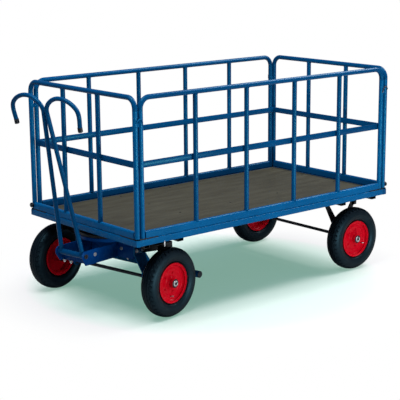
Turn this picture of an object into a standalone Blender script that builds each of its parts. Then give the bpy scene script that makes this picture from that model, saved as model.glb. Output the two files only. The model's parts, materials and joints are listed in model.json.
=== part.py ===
"""Hand cart with four walls of steel tube, steered by its drawbar.

Metres, +Z up, +X towards the drawbar, +Y to the left. The origin is the middle of the deck's top.
The front axle stands a little turned, as the cart is parked, and its drawbar leans upright.
"""
import math

import bmesh
import bpy
from mathutils import Matrix, Vector

# Ground, wheels and axles
DECK_HEIGHT = 0.499
TYRE_RADIUS = 0.200
TYRE_WIDTH = 0.100
RIM_FLANGE_RADIUS = 0.116
RIM_WELL_RADIUS = 0.104
RIM_WIDTH = 0.074
RIM_FLANGE_THICKNESS = 0.004
RIM_WALL = 0.005
DISC_OFFSET = 0.012
DISC_THICKNESS = 0.006
HUB_RADIUS = 0.027
HUB_LENGTH = 0.100
AXLE_RADIUS = 0.010
BORE_CLEARANCE = 0.0005
TRACK = 0.914
FRONT_AXLE_SETBACK = 0.200
REAR_AXLE_SETBACK = 0.242
AXLE_END_SETBACK = 0.002

# Deck and its frame
FRAME_LENGTH = 2.024
FRAME_WIDTH = 1.050
RAIL_WIDTH = 0.034
RAIL_DEPTH = 0.036
KERB_WIDTH = 0.028
KERB_HEIGHT = 0.045
BOARD_THICKNESS = 0.018
JOIST_WIDTH = 0.040
JOIST_SPACING = 0.400
CROSS_MEMBER_WIDTH = 0.040
CROSS_MEMBER_DEPTH = 0.020
CROSS_MEMBER_INSET = 0.014
FRONT_CROSS_SPREAD = 0.120
REAR_CROSS_SPREAD = 0.140

# Walls
POST_RADIUS = 0.0145
POST_SPACING = 0.036
UPRIGHT_RADIUS = 0.014
WALL_HEIGHT = 0.775
MID_RAIL_HEIGHT = 0.408
MID_RAIL_DEPTH = 0.036
MID_RAIL_THICKNESS = 0.008
BEND_RADIUS = 0.060
BEND_LEAD = 0.010
SIDE_BAYS = 5
END_BAYS = 3
HOOK_DROP = 0.075
HOOK_THICKNESS = 0.012
HOOK_DEPTH = 0.022

# Turntable and front bogie
STEER_PARKED = math.radians(9.8)
RING_RADIUS = 0.180
RING_BORE_RADIUS = 0.110
RING_THICKNESS = 0.018
RING_RUNNING_GAP = 0.0008
BOLSTER_LENGTH = 0.090
BOLSTER_WIDTH = 0.460
BOLSTER_DEPTH = 0.106
SIDE_PLATE_THICKNESS = 0.008
SIDE_PLATE_KNEE = 0.030
SIDE_PLATE_SPLAY = 0.045
AXLE_EYE_RADIUS = 0.028
BRAKE_BAR_RADIUS = 0.020
BRAKE_BAR_LENGTH = 1.000
BRAKE_GAP = 0.006
BRAKE_ARM_RADIUS = 0.012
BRAKE_ARM_SPREAD = 0.220

# Rear axle carriers
CARRIER_SPREAD = 0.700
CARRIER_STRAP = 0.030
CARRIER_THICKNESS = 0.008

# Drawbar
DRAWBAR_REACH = 0.305
DRAWBAR_PIVOT_HEIGHT = 0.354
DRAWBAR_LEAN = math.radians(11.5)
DRAWBAR_TUBE_RADIUS = 0.0125
SLEEVE_RADIUS = 0.017
SLEEVE_HALF_LENGTH = 0.100
PIN_RADIUS = 0.008
PIN_OVERHANG = 0.006
LUG_THICKNESS = 0.008
LUG_RADIUS = 0.030
LUG_SIDE_PLAY = 0.001
STOP_PLATE_SETBACK = 0.030
STOP_PLATE_THICKNESS = 0.006
STOP_PLATE_HEIGHT = 0.030
DRAWBAR_FOOT_HALF_WIDTH = 0.084
DRAWBAR_NECK_HEIGHT = 0.850
HORN_TOP_HEIGHT = 0.932
HORN_TOP_HALF_WIDTH = 0.109
HORN_OUTER_HEIGHT = 0.884
HORN_OUTER_HALF_WIDTH = 0.246
HORN_TIP_HEIGHT = 0.760
HORN_TIP_HALF_WIDTH = 0.250

# Gap kept between touching pieces, and how far a cutter or a joined piece runs over
GAP = 0.0003
OVERRUN = 0.002

# How finely round shapes are divided
TUBE_SIDES = 16
RING_SIDES = 48
TYRE_SIDES = 28
CURVE_SIDES = 4
BEND_STEPS = 6
HORN_STEPS = 7
TYRE_QUARTER_STEPS = 3
TYRE_SQUARENESS = 2.5

# Where the axles stand along the cart
FRONT_AXLE_X = FRAME_LENGTH / 2 - FRONT_AXLE_SETBACK
REAR_AXLE_X = REAR_AXLE_SETBACK - FRAME_LENGTH / 2

# Heights of the stacked pieces below the deck's top, which is at zero
GROUND_Z = -DECK_HEIGHT
AXLE_Z = GROUND_Z + TYRE_RADIUS
RAIL_BOTTOM_Z = -RAIL_DEPTH
CROSS_TOP_Z = RAIL_BOTTOM_Z - GAP
CROSS_BOTTOM_Z = CROSS_TOP_Z - CROSS_MEMBER_DEPTH
UPPER_RING_TOP_Z = CROSS_BOTTOM_Z - GAP
UPPER_RING_BOTTOM_Z = UPPER_RING_TOP_Z - RING_THICKNESS
LOWER_RING_TOP_Z = UPPER_RING_BOTTOM_Z - RING_RUNNING_GAP
BOLSTER_TOP_Z = LOWER_RING_TOP_Z - RING_THICKNESS
BOLSTER_BOTTOM_Z = BOLSTER_TOP_Z - BOLSTER_DEPTH
PIVOT_Z = GROUND_Z + DRAWBAR_PIVOT_HEIGHT

# Wall planes, and the rows of tubes in them
END_WALL_X = FRAME_LENGTH / 2 - RAIL_WIDTH / 2
SIDE_WALL_Y = FRAME_WIDTH / 2 - RAIL_WIDTH / 2
SIDE_POST_X = END_WALL_X - POST_SPACING
UPRIGHT_INSET = POST_RADIUS - UPRIGHT_RADIUS
MID_RAIL_INSET = POST_RADIUS + GAP + MID_RAIL_THICKNESS / 2
BEND_FOOT_Z = WALL_HEIGHT - BEND_RADIUS - BEND_LEAD

BLUE = (0.006, 0.085, 0.30)
BLACK = (0.008, 0.009, 0.011)
RED = (0.56, 0.004, 0.016)
RUBBER = (0.010, 0.012, 0.014)
BOARD = (0.105, 0.088, 0.068)
STEEL = (0.42, 0.42, 0.42)


def clear_scene():
    for scene_object in list(bpy.data.objects):
        bpy.data.objects.remove(scene_object, do_unlink=True)


def new_collection(name):
    collection = bpy.data.collections.new(name)
    bpy.context.scene.collection.children.link(collection)
    return collection


clear_scene()
CART = new_collection("hand_cart")
CUTTERS = new_collection("cutters")


def new_material(name, colour, metallic, roughness):
    material = bpy.data.materials.new(name)
    material.use_nodes = True
    shader = material.node_tree.nodes["Principled BSDF"]
    shader.inputs["Base Color"].default_value = (*colour, 1.0)
    shader.inputs["Metallic"].default_value = metallic
    shader.inputs["Roughness"].default_value = roughness
    material.diffuse_color = (*colour, 1.0)
    return material


def paint(target, colour, metallic=0.0, roughness=0.45):
    """Give the piece a material of its own."""
    material = new_material(target.name + "_finish", colour, metallic, roughness)
    if target.data.users == 1:
        target.data.materials.clear()
        target.data.materials.append(material)
        return
    target.material_slots[0].link = "OBJECT"
    target.material_slots[0].material = material


def place(name, data, location=(0, 0, 0), rotation=(0, 0, 0), parent=None, collection=None):
    placed = bpy.data.objects.new(name, data)
    (collection or CART).objects.link(placed)
    placed.location = location
    placed.rotation_euler = rotation
    placed.parent = parent
    return placed


def frame_empty(name, location, rotation=(0, 0, 0), parent=None):
    empty = place(name, None, location, rotation, parent)
    empty.empty_display_size = AXLE_EYE_RADIUS
    return empty


def smooth(mesh):
    mesh.shade_smooth()
    mesh.set_sharp_from_angle(angle=math.radians(35))


def box_mesh(name, size):
    mesh = bpy.data.meshes.new(name)
    cage = bmesh.new()
    bmesh.ops.create_cube(cage, size=1)
    bmesh.ops.scale(cage, vec=Vector(size), verts=cage.verts)
    cage.to_mesh(mesh)
    cage.free()
    return mesh


def cylinder_mesh(name, radius, length, sides=TUBE_SIDES):
    """A rod along Z, centred on its middle."""
    mesh = bpy.data.meshes.new(name)
    cage = bmesh.new()
    bmesh.ops.create_cone(cage, cap_ends=True, segments=sides, radius1=radius, radius2=radius, depth=length)
    cage.to_mesh(mesh)
    cage.free()
    smooth(mesh)
    return mesh


def turned_mesh(name, profile, sides):
    """A closed profile of (radius, height) points, turned about Z into a closed ring."""
    outline = bpy.data.meshes.new(name + "_profile")
    points = [(radius, 0, height) for radius, height in profile]
    edges = [(index, (index + 1) % len(points)) for index in range(len(points))]
    outline.from_pydata(points, edges, [])
    turned = place(name + "_turned", outline, collection=CUTTERS)
    screw = turned.modifiers.new("turn", "SCREW")
    screw.axis = "Z"
    screw.steps = sides
    screw.render_steps = sides
    screw.use_merge_vertices = True
    screw.merge_threshold = 0.00005
    mesh = evaluated_mesh(turned, name)
    smooth(mesh)
    return mesh


def evaluated_mesh(source, name):
    """The shape that a piece's modifiers or its bevel give, as a mesh, and the piece itself removed."""
    bpy.context.view_layer.update()
    evaluated = source.evaluated_get(bpy.context.evaluated_depsgraph_get())
    mesh = bpy.data.meshes.new_from_object(evaluated)
    mesh.name = name
    bpy.data.objects.remove(source, do_unlink=True)
    return mesh


def weld(mesh):
    cage = bmesh.new()
    cage.from_mesh(mesh)
    bmesh.ops.remove_doubles(cage, verts=cage.verts, dist=0.00002)
    bmesh.ops.recalc_face_normals(cage, faces=cage.faces)
    cage.to_mesh(mesh)
    cage.free()


def bent_tube_mesh(name, points, radius):
    """A round tube along the points, with closed ends."""
    curve = bpy.data.curves.new(name + "_path", "CURVE")
    curve.dimensions = "3D"
    spline = curve.splines.new("POLY")
    spline.points.add(len(points) - 1)
    for spline_point, point in zip(spline.points, points):
        spline_point.co = (*point, 1)
    curve.bevel_depth = radius
    curve.bevel_resolution = CURVE_SIDES
    curve.use_fill_caps = True
    mesh = evaluated_mesh(place(name + "_curve", curve, collection=CUTTERS), name)
    weld(mesh)
    smooth(mesh)
    return mesh


def plate_mesh(name, outlines, thickness):
    """A flat plate in XY. The first outline is its edge, and any more are holes in it."""
    curve = bpy.data.curves.new(name + "_outline", "CURVE")
    curve.dimensions = "2D"
    curve.fill_mode = "BOTH"
    curve.extrude = thickness / 2
    for outline in outlines:
        spline = curve.splines.new("POLY")
        spline.points.add(len(outline) - 1)
        for spline_point, (x, y) in zip(spline.points, outline):
            spline_point.co = (x, y, 0, 1)
        spline.use_cyclic_u = True
    mesh = evaluated_mesh(place(name + "_curve", curve, collection=CUTTERS), name)
    weld(mesh)
    return mesh


def arc(centre, radius, start, end, steps):
    """Points along an arc, with its angles in degrees."""
    turns = [math.radians(start + (end - start) * step / steps) for step in range(steps + 1)]
    return [(centre[0] + radius * math.cos(turn), centre[1] + radius * math.sin(turn)) for turn in turns]


def round_hole(centre, radius):
    """An outline whose flats, not its corners, lie at the radius, so that a round rod clears it."""
    corner_radius = radius / math.cos(math.pi / TUBE_SIDES)
    return arc(centre, corner_radius, 0, 360, TUBE_SIDES)[:-1]


def moved(mesh, location=(0, 0, 0), rotation=(0, 0, 0)):
    """The mesh set in place inside its piece, before it is joined to others."""
    turn = Matrix.LocRotScale(Vector(location), Matrix.Rotation(rotation[2], 3, "Z")
                              @ Matrix.Rotation(rotation[1], 3, "Y")
                              @ Matrix.Rotation(rotation[0], 3, "X"), None)
    mesh.transform(turn)
    return mesh


def change_shape(target, mesh, label, operation):
    """Join one more mesh to a piece or cut it out. The mesh is given in the piece's own axes."""
    tool = place(f"{target.name}_{label}", mesh, collection=CUTTERS)
    tool.location = target.location
    tool.rotation_euler = target.rotation_euler
    tool.parent = target.parent
    tool.hide_render = True
    tool.display_type = "WIRE"
    boolean = target.modifiers.new(label, "BOOLEAN")
    boolean.operation = operation
    boolean.object = tool


def combine(name, meshes, **placing):
    """One piece made of several meshes, joined into one solid."""
    target = place(name, meshes[0], **placing)
    for index, mesh in enumerate(meshes[1:]):
        change_shape(target, mesh, f"joined_{index}", "UNION")
    return target


def add_deck():
    board_length = FRAME_LENGTH - 2 * (RAIL_WIDTH + GAP)
    board_width = FRAME_WIDTH - 2 * (RAIL_WIDTH + GAP)
    board = place("deck_board", box_mesh("deck_board", (board_length, board_width, BOARD_THICKNESS)),
                  location=(0, 0, -BOARD_THICKNESS / 2))
    paint(board, BOARD, roughness=0.8)
    joist_top = -BOARD_THICKNESS - GAP
    joist_depth = RAIL_DEPTH - BOARD_THICKNESS - GAP
    joist = box_mesh("deck_joist", (JOIST_WIDTH, board_width, joist_depth))
    for index, label in enumerate(("rear", "middle", "front")):
        bearer = place(f"deck_joist_{label}", joist.copy(),
                       location=((index - 1) * JOIST_SPACING, 0, joist_top - joist_depth / 2))
        paint(bearer, BLUE)


def add_rail(name, length, kerb_length, along_x, location):
    """One edge of the deck: a low rail, and on it the kerb that runs between a wall's posts."""
    rail_size = (length, RAIL_WIDTH, RAIL_DEPTH)
    kerb_size = (kerb_length, KERB_WIDTH, KERB_HEIGHT + OVERRUN)
    rail = moved(box_mesh(name, rail_size), location=(0, 0, -RAIL_DEPTH / 2))
    kerb = moved(box_mesh(name + "_kerb", kerb_size), location=(0, 0, (KERB_HEIGHT - OVERRUN) / 2))
    turn = 0 if along_x else math.pi / 2
    paint(combine(name, [rail, kerb], location=location, rotation=(0, 0, turn)), BLUE)


def add_frame():
    side_length = FRAME_LENGTH - 2 * (RAIL_WIDTH + GAP)
    side_kerb = 2 * (SIDE_POST_X - POST_RADIUS - GAP)
    end_kerb = 2 * (SIDE_WALL_Y - POST_RADIUS - GAP)
    for side, sign in (("left", 1), ("right", -1)):
        add_rail(f"side_rail_{side}", side_length, side_kerb, True, (0, sign * SIDE_WALL_Y, 0))
    for end, sign in (("front", 1), ("rear", -1)):
        add_rail(f"end_rail_{end}", FRAME_WIDTH, end_kerb, False, (sign * END_WALL_X, 0, 0))
    member_length = FRAME_WIDTH - 2 * CROSS_MEMBER_INSET
    member_z = (CROSS_TOP_Z + CROSS_BOTTOM_Z) / 2
    places = (("front_1", FRONT_AXLE_X + FRONT_CROSS_SPREAD), ("front_2", FRONT_AXLE_X - FRONT_CROSS_SPREAD),
              ("rear_1", REAR_AXLE_X + REAR_CROSS_SPREAD), ("rear_2", REAR_AXLE_X - REAR_CROSS_SPREAD))
    for label, x in places:
        mesh = box_mesh("cross_member", (CROSS_MEMBER_WIDTH, member_length, CROSS_MEMBER_DEPTH))
        paint(place(f"cross_member_{label}", mesh, location=(x, 0, member_z)), BLACK)


def add_corner_posts(end, side, x_sign, y_sign):
    """The two posts that meet at a corner, held together by the hook between them."""
    name = f"corner_posts_{end}_{side}"
    height = BEND_FOOT_Z - 2 * GAP
    middle = GAP + height / 2
    side_post = moved(cylinder_mesh(name, POST_RADIUS, height), location=(-x_sign * POST_SPACING, 0, middle))
    end_post = moved(cylinder_mesh(name + "_end", POST_RADIUS, height), location=(0, 0, middle))
    hook_size = (POST_SPACING, HOOK_THICKNESS, HOOK_DEPTH)
    hook_place = (-x_sign * POST_SPACING / 2, 0, BEND_FOOT_Z - HOOK_DROP)
    hook = moved(box_mesh(name + "_hook", hook_size), location=hook_place)
    posts = combine(name, [side_post, hook, end_post],
                    location=(x_sign * END_WALL_X, y_sign * SIDE_WALL_Y, 0))
    paint(posts, BLUE)


def add_top_rail(name, half_span, location, turn):
    """A wall's top tube, bent down at both ends to meet its posts."""
    right = [(half_span, BEND_FOOT_Z)]
    right += arc((half_span - BEND_RADIUS, WALL_HEIGHT - BEND_RADIUS), BEND_RADIUS, 0, 90, BEND_STEPS)
    points = [(x, 0, z) for x, z in right] + [(-x, 0, z) for x, z in reversed(right)]
    top = place(name, bent_tube_mesh(name, points, POST_RADIUS), location=location, rotation=(0, 0, turn))
    paint(top, BLUE)


def add_upright(name, x, y):
    foot = KERB_HEIGHT + GAP
    head = WALL_HEIGHT - POST_RADIUS - GAP
    mesh = cylinder_mesh(name, UPRIGHT_RADIUS, head - foot)
    paint(place(name, mesh, location=(x, y, (foot + head) / 2)), BLUE)


def add_walls():
    upright_y = SIDE_WALL_Y - UPRIGHT_INSET
    upright_x = END_WALL_X - UPRIGHT_INSET
    mid_rail_y = SIDE_WALL_Y - MID_RAIL_INSET
    mid_rail_x = END_WALL_X - MID_RAIL_INSET
    side_mid_length = 2 * (mid_rail_x - MID_RAIL_THICKNESS / 2 - GAP)
    end_mid_length = 2 * (SIDE_WALL_Y - POST_RADIUS / 2)
    for side, sign in (("left", 1), ("right", -1)):
        add_top_rail(f"side_top_rail_{side}", SIDE_POST_X, (0, sign * SIDE_WALL_Y, 0), 0)
        mesh = box_mesh("side_mid_rail", (side_mid_length, MID_RAIL_THICKNESS, MID_RAIL_DEPTH))
        paint(place(f"side_mid_rail_{side}", mesh, location=(0, sign * mid_rail_y, MID_RAIL_HEIGHT)), BLUE)
        for bay in range(1, SIDE_BAYS):
            x = SIDE_POST_X - 2 * SIDE_POST_X * bay / SIDE_BAYS
            add_upright(f"side_upright_{side}_{bay}", x, sign * upright_y)
    for end, sign in (("front", 1), ("rear", -1)):
        add_top_rail(f"end_top_rail_{end}", SIDE_WALL_Y, (sign * END_WALL_X, 0, 0), math.pi / 2)
        mesh = box_mesh("end_mid_rail", (MID_RAIL_THICKNESS, end_mid_length, MID_RAIL_DEPTH))
        paint(place(f"end_mid_rail_{end}", mesh, location=(sign * mid_rail_x, 0, MID_RAIL_HEIGHT)), BLUE)
        for bay in range(1, END_BAYS):
            y = SIDE_WALL_Y - 2 * SIDE_WALL_Y * bay / END_BAYS
            add_upright(f"end_upright_{end}_{bay}", sign * upright_x, y)
        for side, y_sign in (("left", 1), ("right", -1)):
            add_corner_posts(end, side, sign, y_sign)


def tyre_profile():
    """The rounded tread and side walls, from bead to bead, then the flat seat on the rim."""
    seat_half = RIM_WIDTH / 2 - RIM_FLANGE_THICKNESS - GAP
    foot_radius = RIM_FLANGE_RADIUS + GAP
    mid_radius = (TYRE_RADIUS + foot_radius) / 2
    rise = TYRE_RADIUS - mid_radius
    outer = []
    steps = 2 * TYRE_QUARTER_STEPS
    lowest = -math.asin((seat_half / (TYRE_WIDTH / 2)) ** (TYRE_SQUARENESS / 2))
    start = -(math.pi / 2 + lowest)
    for step in range(2 * steps + 1):
        angle = start + (math.pi - 2 * start) * step / (2 * steps)
        across = math.copysign(abs(math.cos(angle)) ** (2 / TYRE_SQUARENESS), math.cos(angle))
        up = math.copysign(abs(math.sin(angle)) ** (2 / TYRE_SQUARENESS), math.sin(angle))
        outer.append((mid_radius + rise * up, TYRE_WIDTH / 2 * across))
    seat_radius = RIM_WELL_RADIUS + GAP
    return [(seat_radius, seat_half)] + outer + [(seat_radius, -seat_half)]


def rim_profile():
    half = RIM_WIDTH / 2
    inner = RIM_WELL_RADIUS - RIM_WALL
    lip = half - RIM_FLANGE_THICKNESS
    disc_out = DISC_OFFSET + DISC_THICKNESS / 2
    disc_in = DISC_OFFSET - DISC_THICKNESS / 2
    hub = HUB_LENGTH / 2
    bore = AXLE_RADIUS + BORE_CLEARANCE
    return [(RIM_FLANGE_RADIUS, half), (RIM_FLANGE_RADIUS, lip), (RIM_WELL_RADIUS, lip),
            (RIM_WELL_RADIUS, -lip), (RIM_FLANGE_RADIUS, -lip), (RIM_FLANGE_RADIUS, -half),
            (inner, -half), (inner, disc_in), (HUB_RADIUS, disc_in), (HUB_RADIUS, -hub),
            (bore, -hub), (bore, hub), (HUB_RADIUS, hub), (HUB_RADIUS, disc_out),
            (inner, disc_out), (inner, half)]


def add_wheels(bogie):
    tyre = turned_mesh("tyre", tyre_profile(), TYRE_SIDES)
    rim = turned_mesh("rim", rim_profile(), TYRE_SIDES)
    for end, parent, x, z in (("front", bogie, 0, AXLE_Z), ("rear", None, REAR_AXLE_X, AXLE_Z)):
        for side, sign in (("left", 1), ("right", -1)):
            hub = frame_empty(f"wheel_axis_{end}_{side}", (x, sign * TRACK / 2, z),
                              (-sign * math.pi / 2, 0, 0), parent)
            paint(place(f"tyre_{end}_{side}", tyre.copy(), parent=hub), RUBBER, roughness=0.8)
            paint(place(f"rim_{end}_{side}", rim.copy(), parent=hub), RED, roughness=0.35)


def axle_length():
    return TRACK + HUB_LENGTH - 2 * AXLE_END_SETBACK


def add_rear_axle():
    axle = place("rear_axle", cylinder_mesh("rear_axle", AXLE_RADIUS, axle_length()),
                 location=(REAR_AXLE_X, 0, AXLE_Z), rotation=(math.pi / 2, 0, 0))
    paint(axle, BLACK, metallic=0.6)
    top = CROSS_BOTTOM_Z - GAP - AXLE_Z
    foot = REAR_CROSS_SPREAD
    strap = CARRIER_STRAP / 2
    edge = [(foot + strap, top), (foot - strap, top), (0, AXLE_EYE_RADIUS + CARRIER_STRAP),
            (-foot + strap, top), (-foot - strap, top)]
    edge += arc((0, 0), AXLE_EYE_RADIUS, 180, 360, 2 * BEND_STEPS)
    bore = round_hole((0, 0), AXLE_RADIUS + GAP)
    for side, sign in (("left", 1), ("right", -1)):
        name = f"rear_axle_carrier_{side}"
        axle_point = (REAR_AXLE_X, sign * CARRIER_SPREAD / 2, AXLE_Z)
        carrier = place(name, plate_mesh(name, [edge, bore], CARRIER_THICKNESS),
                        location=axle_point, rotation=(math.pi / 2, 0, 0))
        paint(carrier, BLACK)


def add_turntable():
    outer, inner, height = RING_RADIUS, RING_BORE_RADIUS, RING_THICKNESS
    profile = [(outer, height), (outer, 0), (inner, 0), (inner, height)]
    ring = place("turntable_upper_ring", turned_mesh("turntable_upper_ring", profile, RING_SIDES),
                 location=(FRONT_AXLE_X, 0, UPPER_RING_BOTTOM_Z))
    paint(ring, BLACK)


def lug_mesh(name, pivot_z):
    """A flat cheek from the bolster forward to the drawbar's pin, drawn in XY and stood upright."""
    back = BOLSTER_LENGTH / 2 - OVERRUN
    edge = [(back, pivot_z + LUG_RADIUS), (back, BOLSTER_BOTTOM_Z), (DRAWBAR_REACH, BOLSTER_BOTTOM_Z)]
    edge += arc((DRAWBAR_REACH, pivot_z), LUG_RADIUS, -30, 90, BEND_STEPS)
    bore = round_hole((DRAWBAR_REACH, pivot_z), PIN_RADIUS + GAP)
    return plate_mesh(name, [edge, bore], LUG_THICKNESS)


def lug_place():
    return SLEEVE_HALF_LENGTH + LUG_SIDE_PLAY + LUG_THICKNESS / 2


def add_bolster(bogie):
    box = moved(box_mesh("bogie_bolster", (BOLSTER_LENGTH, BOLSTER_WIDTH, BOLSTER_DEPTH)),
                location=(0, 0, (BOLSTER_TOP_Z + BOLSTER_BOTTOM_Z) / 2))
    ring_foot = BOLSTER_TOP_Z - OVERRUN
    profile = [(RING_RADIUS, LOWER_RING_TOP_Z), (RING_RADIUS, ring_foot),
               (RING_BORE_RADIUS, ring_foot), (RING_BORE_RADIUS, LOWER_RING_TOP_Z)]
    shapes = [box, turned_mesh("lower_ring", profile, RING_SIDES)]
    for sign in (1, -1):
        lug = lug_mesh("drawbar_lug", PIVOT_Z)
        shapes.append(moved(lug, location=(0, sign * lug_place(), 0), rotation=(math.pi / 2, 0, 0)))
    stop_size = (STOP_PLATE_THICKNESS, 2 * lug_place(), STOP_PLATE_HEIGHT)
    stop_z = BOLSTER_BOTTOM_Z + STOP_PLATE_HEIGHT / 2
    shapes.append(moved(box_mesh("stop_plate", stop_size),
                        location=(DRAWBAR_REACH - STOP_PLATE_SETBACK, 0, stop_z)))
    bolster = combine("bogie_bolster", shapes, parent=bogie)
    paint(bolster, BLUE)


def side_plate_rows():
    """(height, half width, how far outwards) down a side plate: upright first, then splayed to its eye."""
    half = BOLSTER_LENGTH / 2
    rows = [(BOLSTER_TOP_Z, half, 0), (BOLSTER_BOTTOM_Z + SIDE_PLATE_KNEE, half, 0),
            (AXLE_Z + AXLE_EYE_RADIUS, AXLE_EYE_RADIUS, SIDE_PLATE_SPLAY)]
    eye = arc((0, AXLE_Z), AXLE_EYE_RADIUS, 0, -80, BEND_STEPS)
    return rows + [(z, half_width, SIDE_PLATE_SPLAY) for half_width, z in eye]


def add_side_plate(name, sign, bogie):
    """A bent plate from one end of the beam down to the axle, outwards in the direction of the sign."""
    corners = []
    for z, half_width, splay in side_plate_rows():
        near = sign * (splay - SIDE_PLATE_THICKNESS / 2)
        far = sign * (splay + SIDE_PLATE_THICKNESS / 2)
        corners += [(half_width, near, z), (-half_width, near, z)]
        corners += [(-half_width, far, z), (half_width, far, z)]
    last = len(corners) - 4
    faces = [(3, 2, 1, 0), (last, last + 1, last + 2, last + 3)]
    for row in range(0, last, 4):
        for index in range(4):
            following = (index + 1) % 4
            faces.append((row + index, row + following, row + 4 + following, row + 4 + index))
    mesh = bpy.data.meshes.new(name)
    mesh.from_pydata(corners, [], faces)
    weld(mesh)
    plate_y = BOLSTER_WIDTH / 2 + GAP + SIDE_PLATE_THICKNESS / 2
    plate = place(name, mesh, location=(0, sign * plate_y, 0), parent=bogie)
    bore_radius = (AXLE_RADIUS + GAP) / math.cos(math.pi / TUBE_SIDES)
    bore = moved(cylinder_mesh(name + "_bore", bore_radius, 2 * SIDE_PLATE_THICKNESS),
                 location=(0, sign * SIDE_PLATE_SPLAY, AXLE_Z), rotation=(math.pi / 2, 0, 0))
    change_shape(plate, bore, "bore", "DIFFERENCE")
    paint(plate, BLUE)


def add_bogie():
    bogie = frame_empty("bogie_axis", (FRONT_AXLE_X, 0, 0), (0, 0, STEER_PARKED))
    add_bolster(bogie)
    axle = place("front_axle", cylinder_mesh("front_axle", AXLE_RADIUS, axle_length()),
                 location=(0, 0, AXLE_Z), rotation=(math.pi / 2, 0, 0), parent=bogie)
    paint(axle, BLACK, metallic=0.6)
    for side, sign in (("left", 1), ("right", -1)):
        add_side_plate(f"bogie_side_plate_{side}", sign, bogie)
    add_brake_bar(bogie)
    return bogie


def add_brake_bar(bogie):
    """A bar behind the front tyres, on two arms from the bolster."""
    bar_x = -(TYRE_RADIUS + BRAKE_GAP + BRAKE_BAR_RADIUS)
    arm_front = -BOLSTER_LENGTH / 2 - GAP
    arm_z = BOLSTER_BOTTOM_Z + BOLSTER_DEPTH / 4
    shapes = [moved(cylinder_mesh("brake_bar", BRAKE_BAR_RADIUS, BRAKE_BAR_LENGTH),
                    location=(bar_x, 0, AXLE_Z), rotation=(math.pi / 2, 0, 0))]
    for sign in (1, -1):
        y = sign * BRAKE_ARM_SPREAD / 2
        path = [(bar_x, y, AXLE_Z), (bar_x / 2 + arm_front / 2, y, arm_z), (arm_front, y, arm_z)]
        shapes.append(bent_tube_mesh("brake_arm", path, BRAKE_ARM_RADIUS))
    paint(combine("brake_bar", shapes, parent=bogie), BLUE)


def horn_path(sign):
    """One drawbar tube: up from the sleeve to the neck, then out and down in a horn."""
    neck_half = DRAWBAR_TUBE_RADIUS + GAP
    knots = [(neck_half, DRAWBAR_NECK_HEIGHT), (HORN_TOP_HALF_WIDTH, HORN_TOP_HEIGHT),
             (HORN_OUTER_HALF_WIDTH, HORN_OUTER_HEIGHT), (HORN_TIP_HALF_WIDTH, HORN_TIP_HEIGHT)]
    before = (DRAWBAR_FOOT_HALF_WIDTH, 0)
    after = (HORN_TIP_HALF_WIDTH, HORN_TIP_HEIGHT - (HORN_OUTER_HEIGHT - HORN_TIP_HEIGHT))
    line = [Vector(point) for point in [before, *knots, after]]
    path = [Vector((DRAWBAR_FOOT_HALF_WIDTH, 0))]
    for first, second, third, fourth in zip(line, line[1:], line[2:], line[3:]):
        reach = (third - second).length
        leave = (third - first).normalized() * reach
        arrive = (fourth - second).normalized() * reach
        for step in range(HORN_STEPS):
            t = step / HORN_STEPS
            path.append(second * (2 * t ** 3 - 3 * t ** 2 + 1) + leave * (t ** 3 - 2 * t ** 2 + t)
                        + third * (3 * t ** 2 - 2 * t ** 3) + arrive * (t ** 3 - t ** 2))
    path.append(Vector(knots[-1]))
    return [(0, sign * point.x, point.y) for point in path]


def add_drawbar(bogie):
    pivot = frame_empty("drawbar_axis", (DRAWBAR_REACH, 0, PIVOT_Z), (0, DRAWBAR_LEAN, 0), bogie)
    across = (math.pi / 2, 0, 0)
    sleeve = cylinder_mesh("drawbar_sleeve", SLEEVE_RADIUS, 2 * SLEEVE_HALF_LENGTH)
    shapes = [moved(sleeve, rotation=across)]
    for sign in (1, -1):
        shapes.append(bent_tube_mesh("drawbar_tube", horn_path(sign), DRAWBAR_TUBE_RADIUS))
    drawbar = combine("drawbar", shapes, parent=pivot)
    bore_length = 2 * (SLEEVE_HALF_LENGTH + OVERRUN)
    bore = moved(cylinder_mesh("sleeve_bore", PIN_RADIUS + BORE_CLEARANCE, bore_length), rotation=across)
    change_shape(drawbar, bore, "bore", "DIFFERENCE")
    paint(drawbar, BLUE)
    pin_length = 2 * (lug_place() + LUG_THICKNESS / 2 + PIN_OVERHANG)
    pin = place("drawbar_pin", cylinder_mesh("drawbar_pin", PIN_RADIUS, pin_length),
                location=(DRAWBAR_REACH, 0, PIVOT_Z), rotation=across, parent=bogie)
    paint(pin, STEEL, metallic=0.9)


def main():
    add_deck()
    add_frame()
    add_walls()
    add_rear_axle()
    add_turntable()
    bogie = add_bogie()
    add_drawbar(bogie)
    add_wheels(bogie)


main()
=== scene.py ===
"""Looks of the four-wheel hand cart with tube walls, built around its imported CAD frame."""
import json
import math
import random

import bmesh
import bpy
from mathutils import Matrix, Vector


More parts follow.
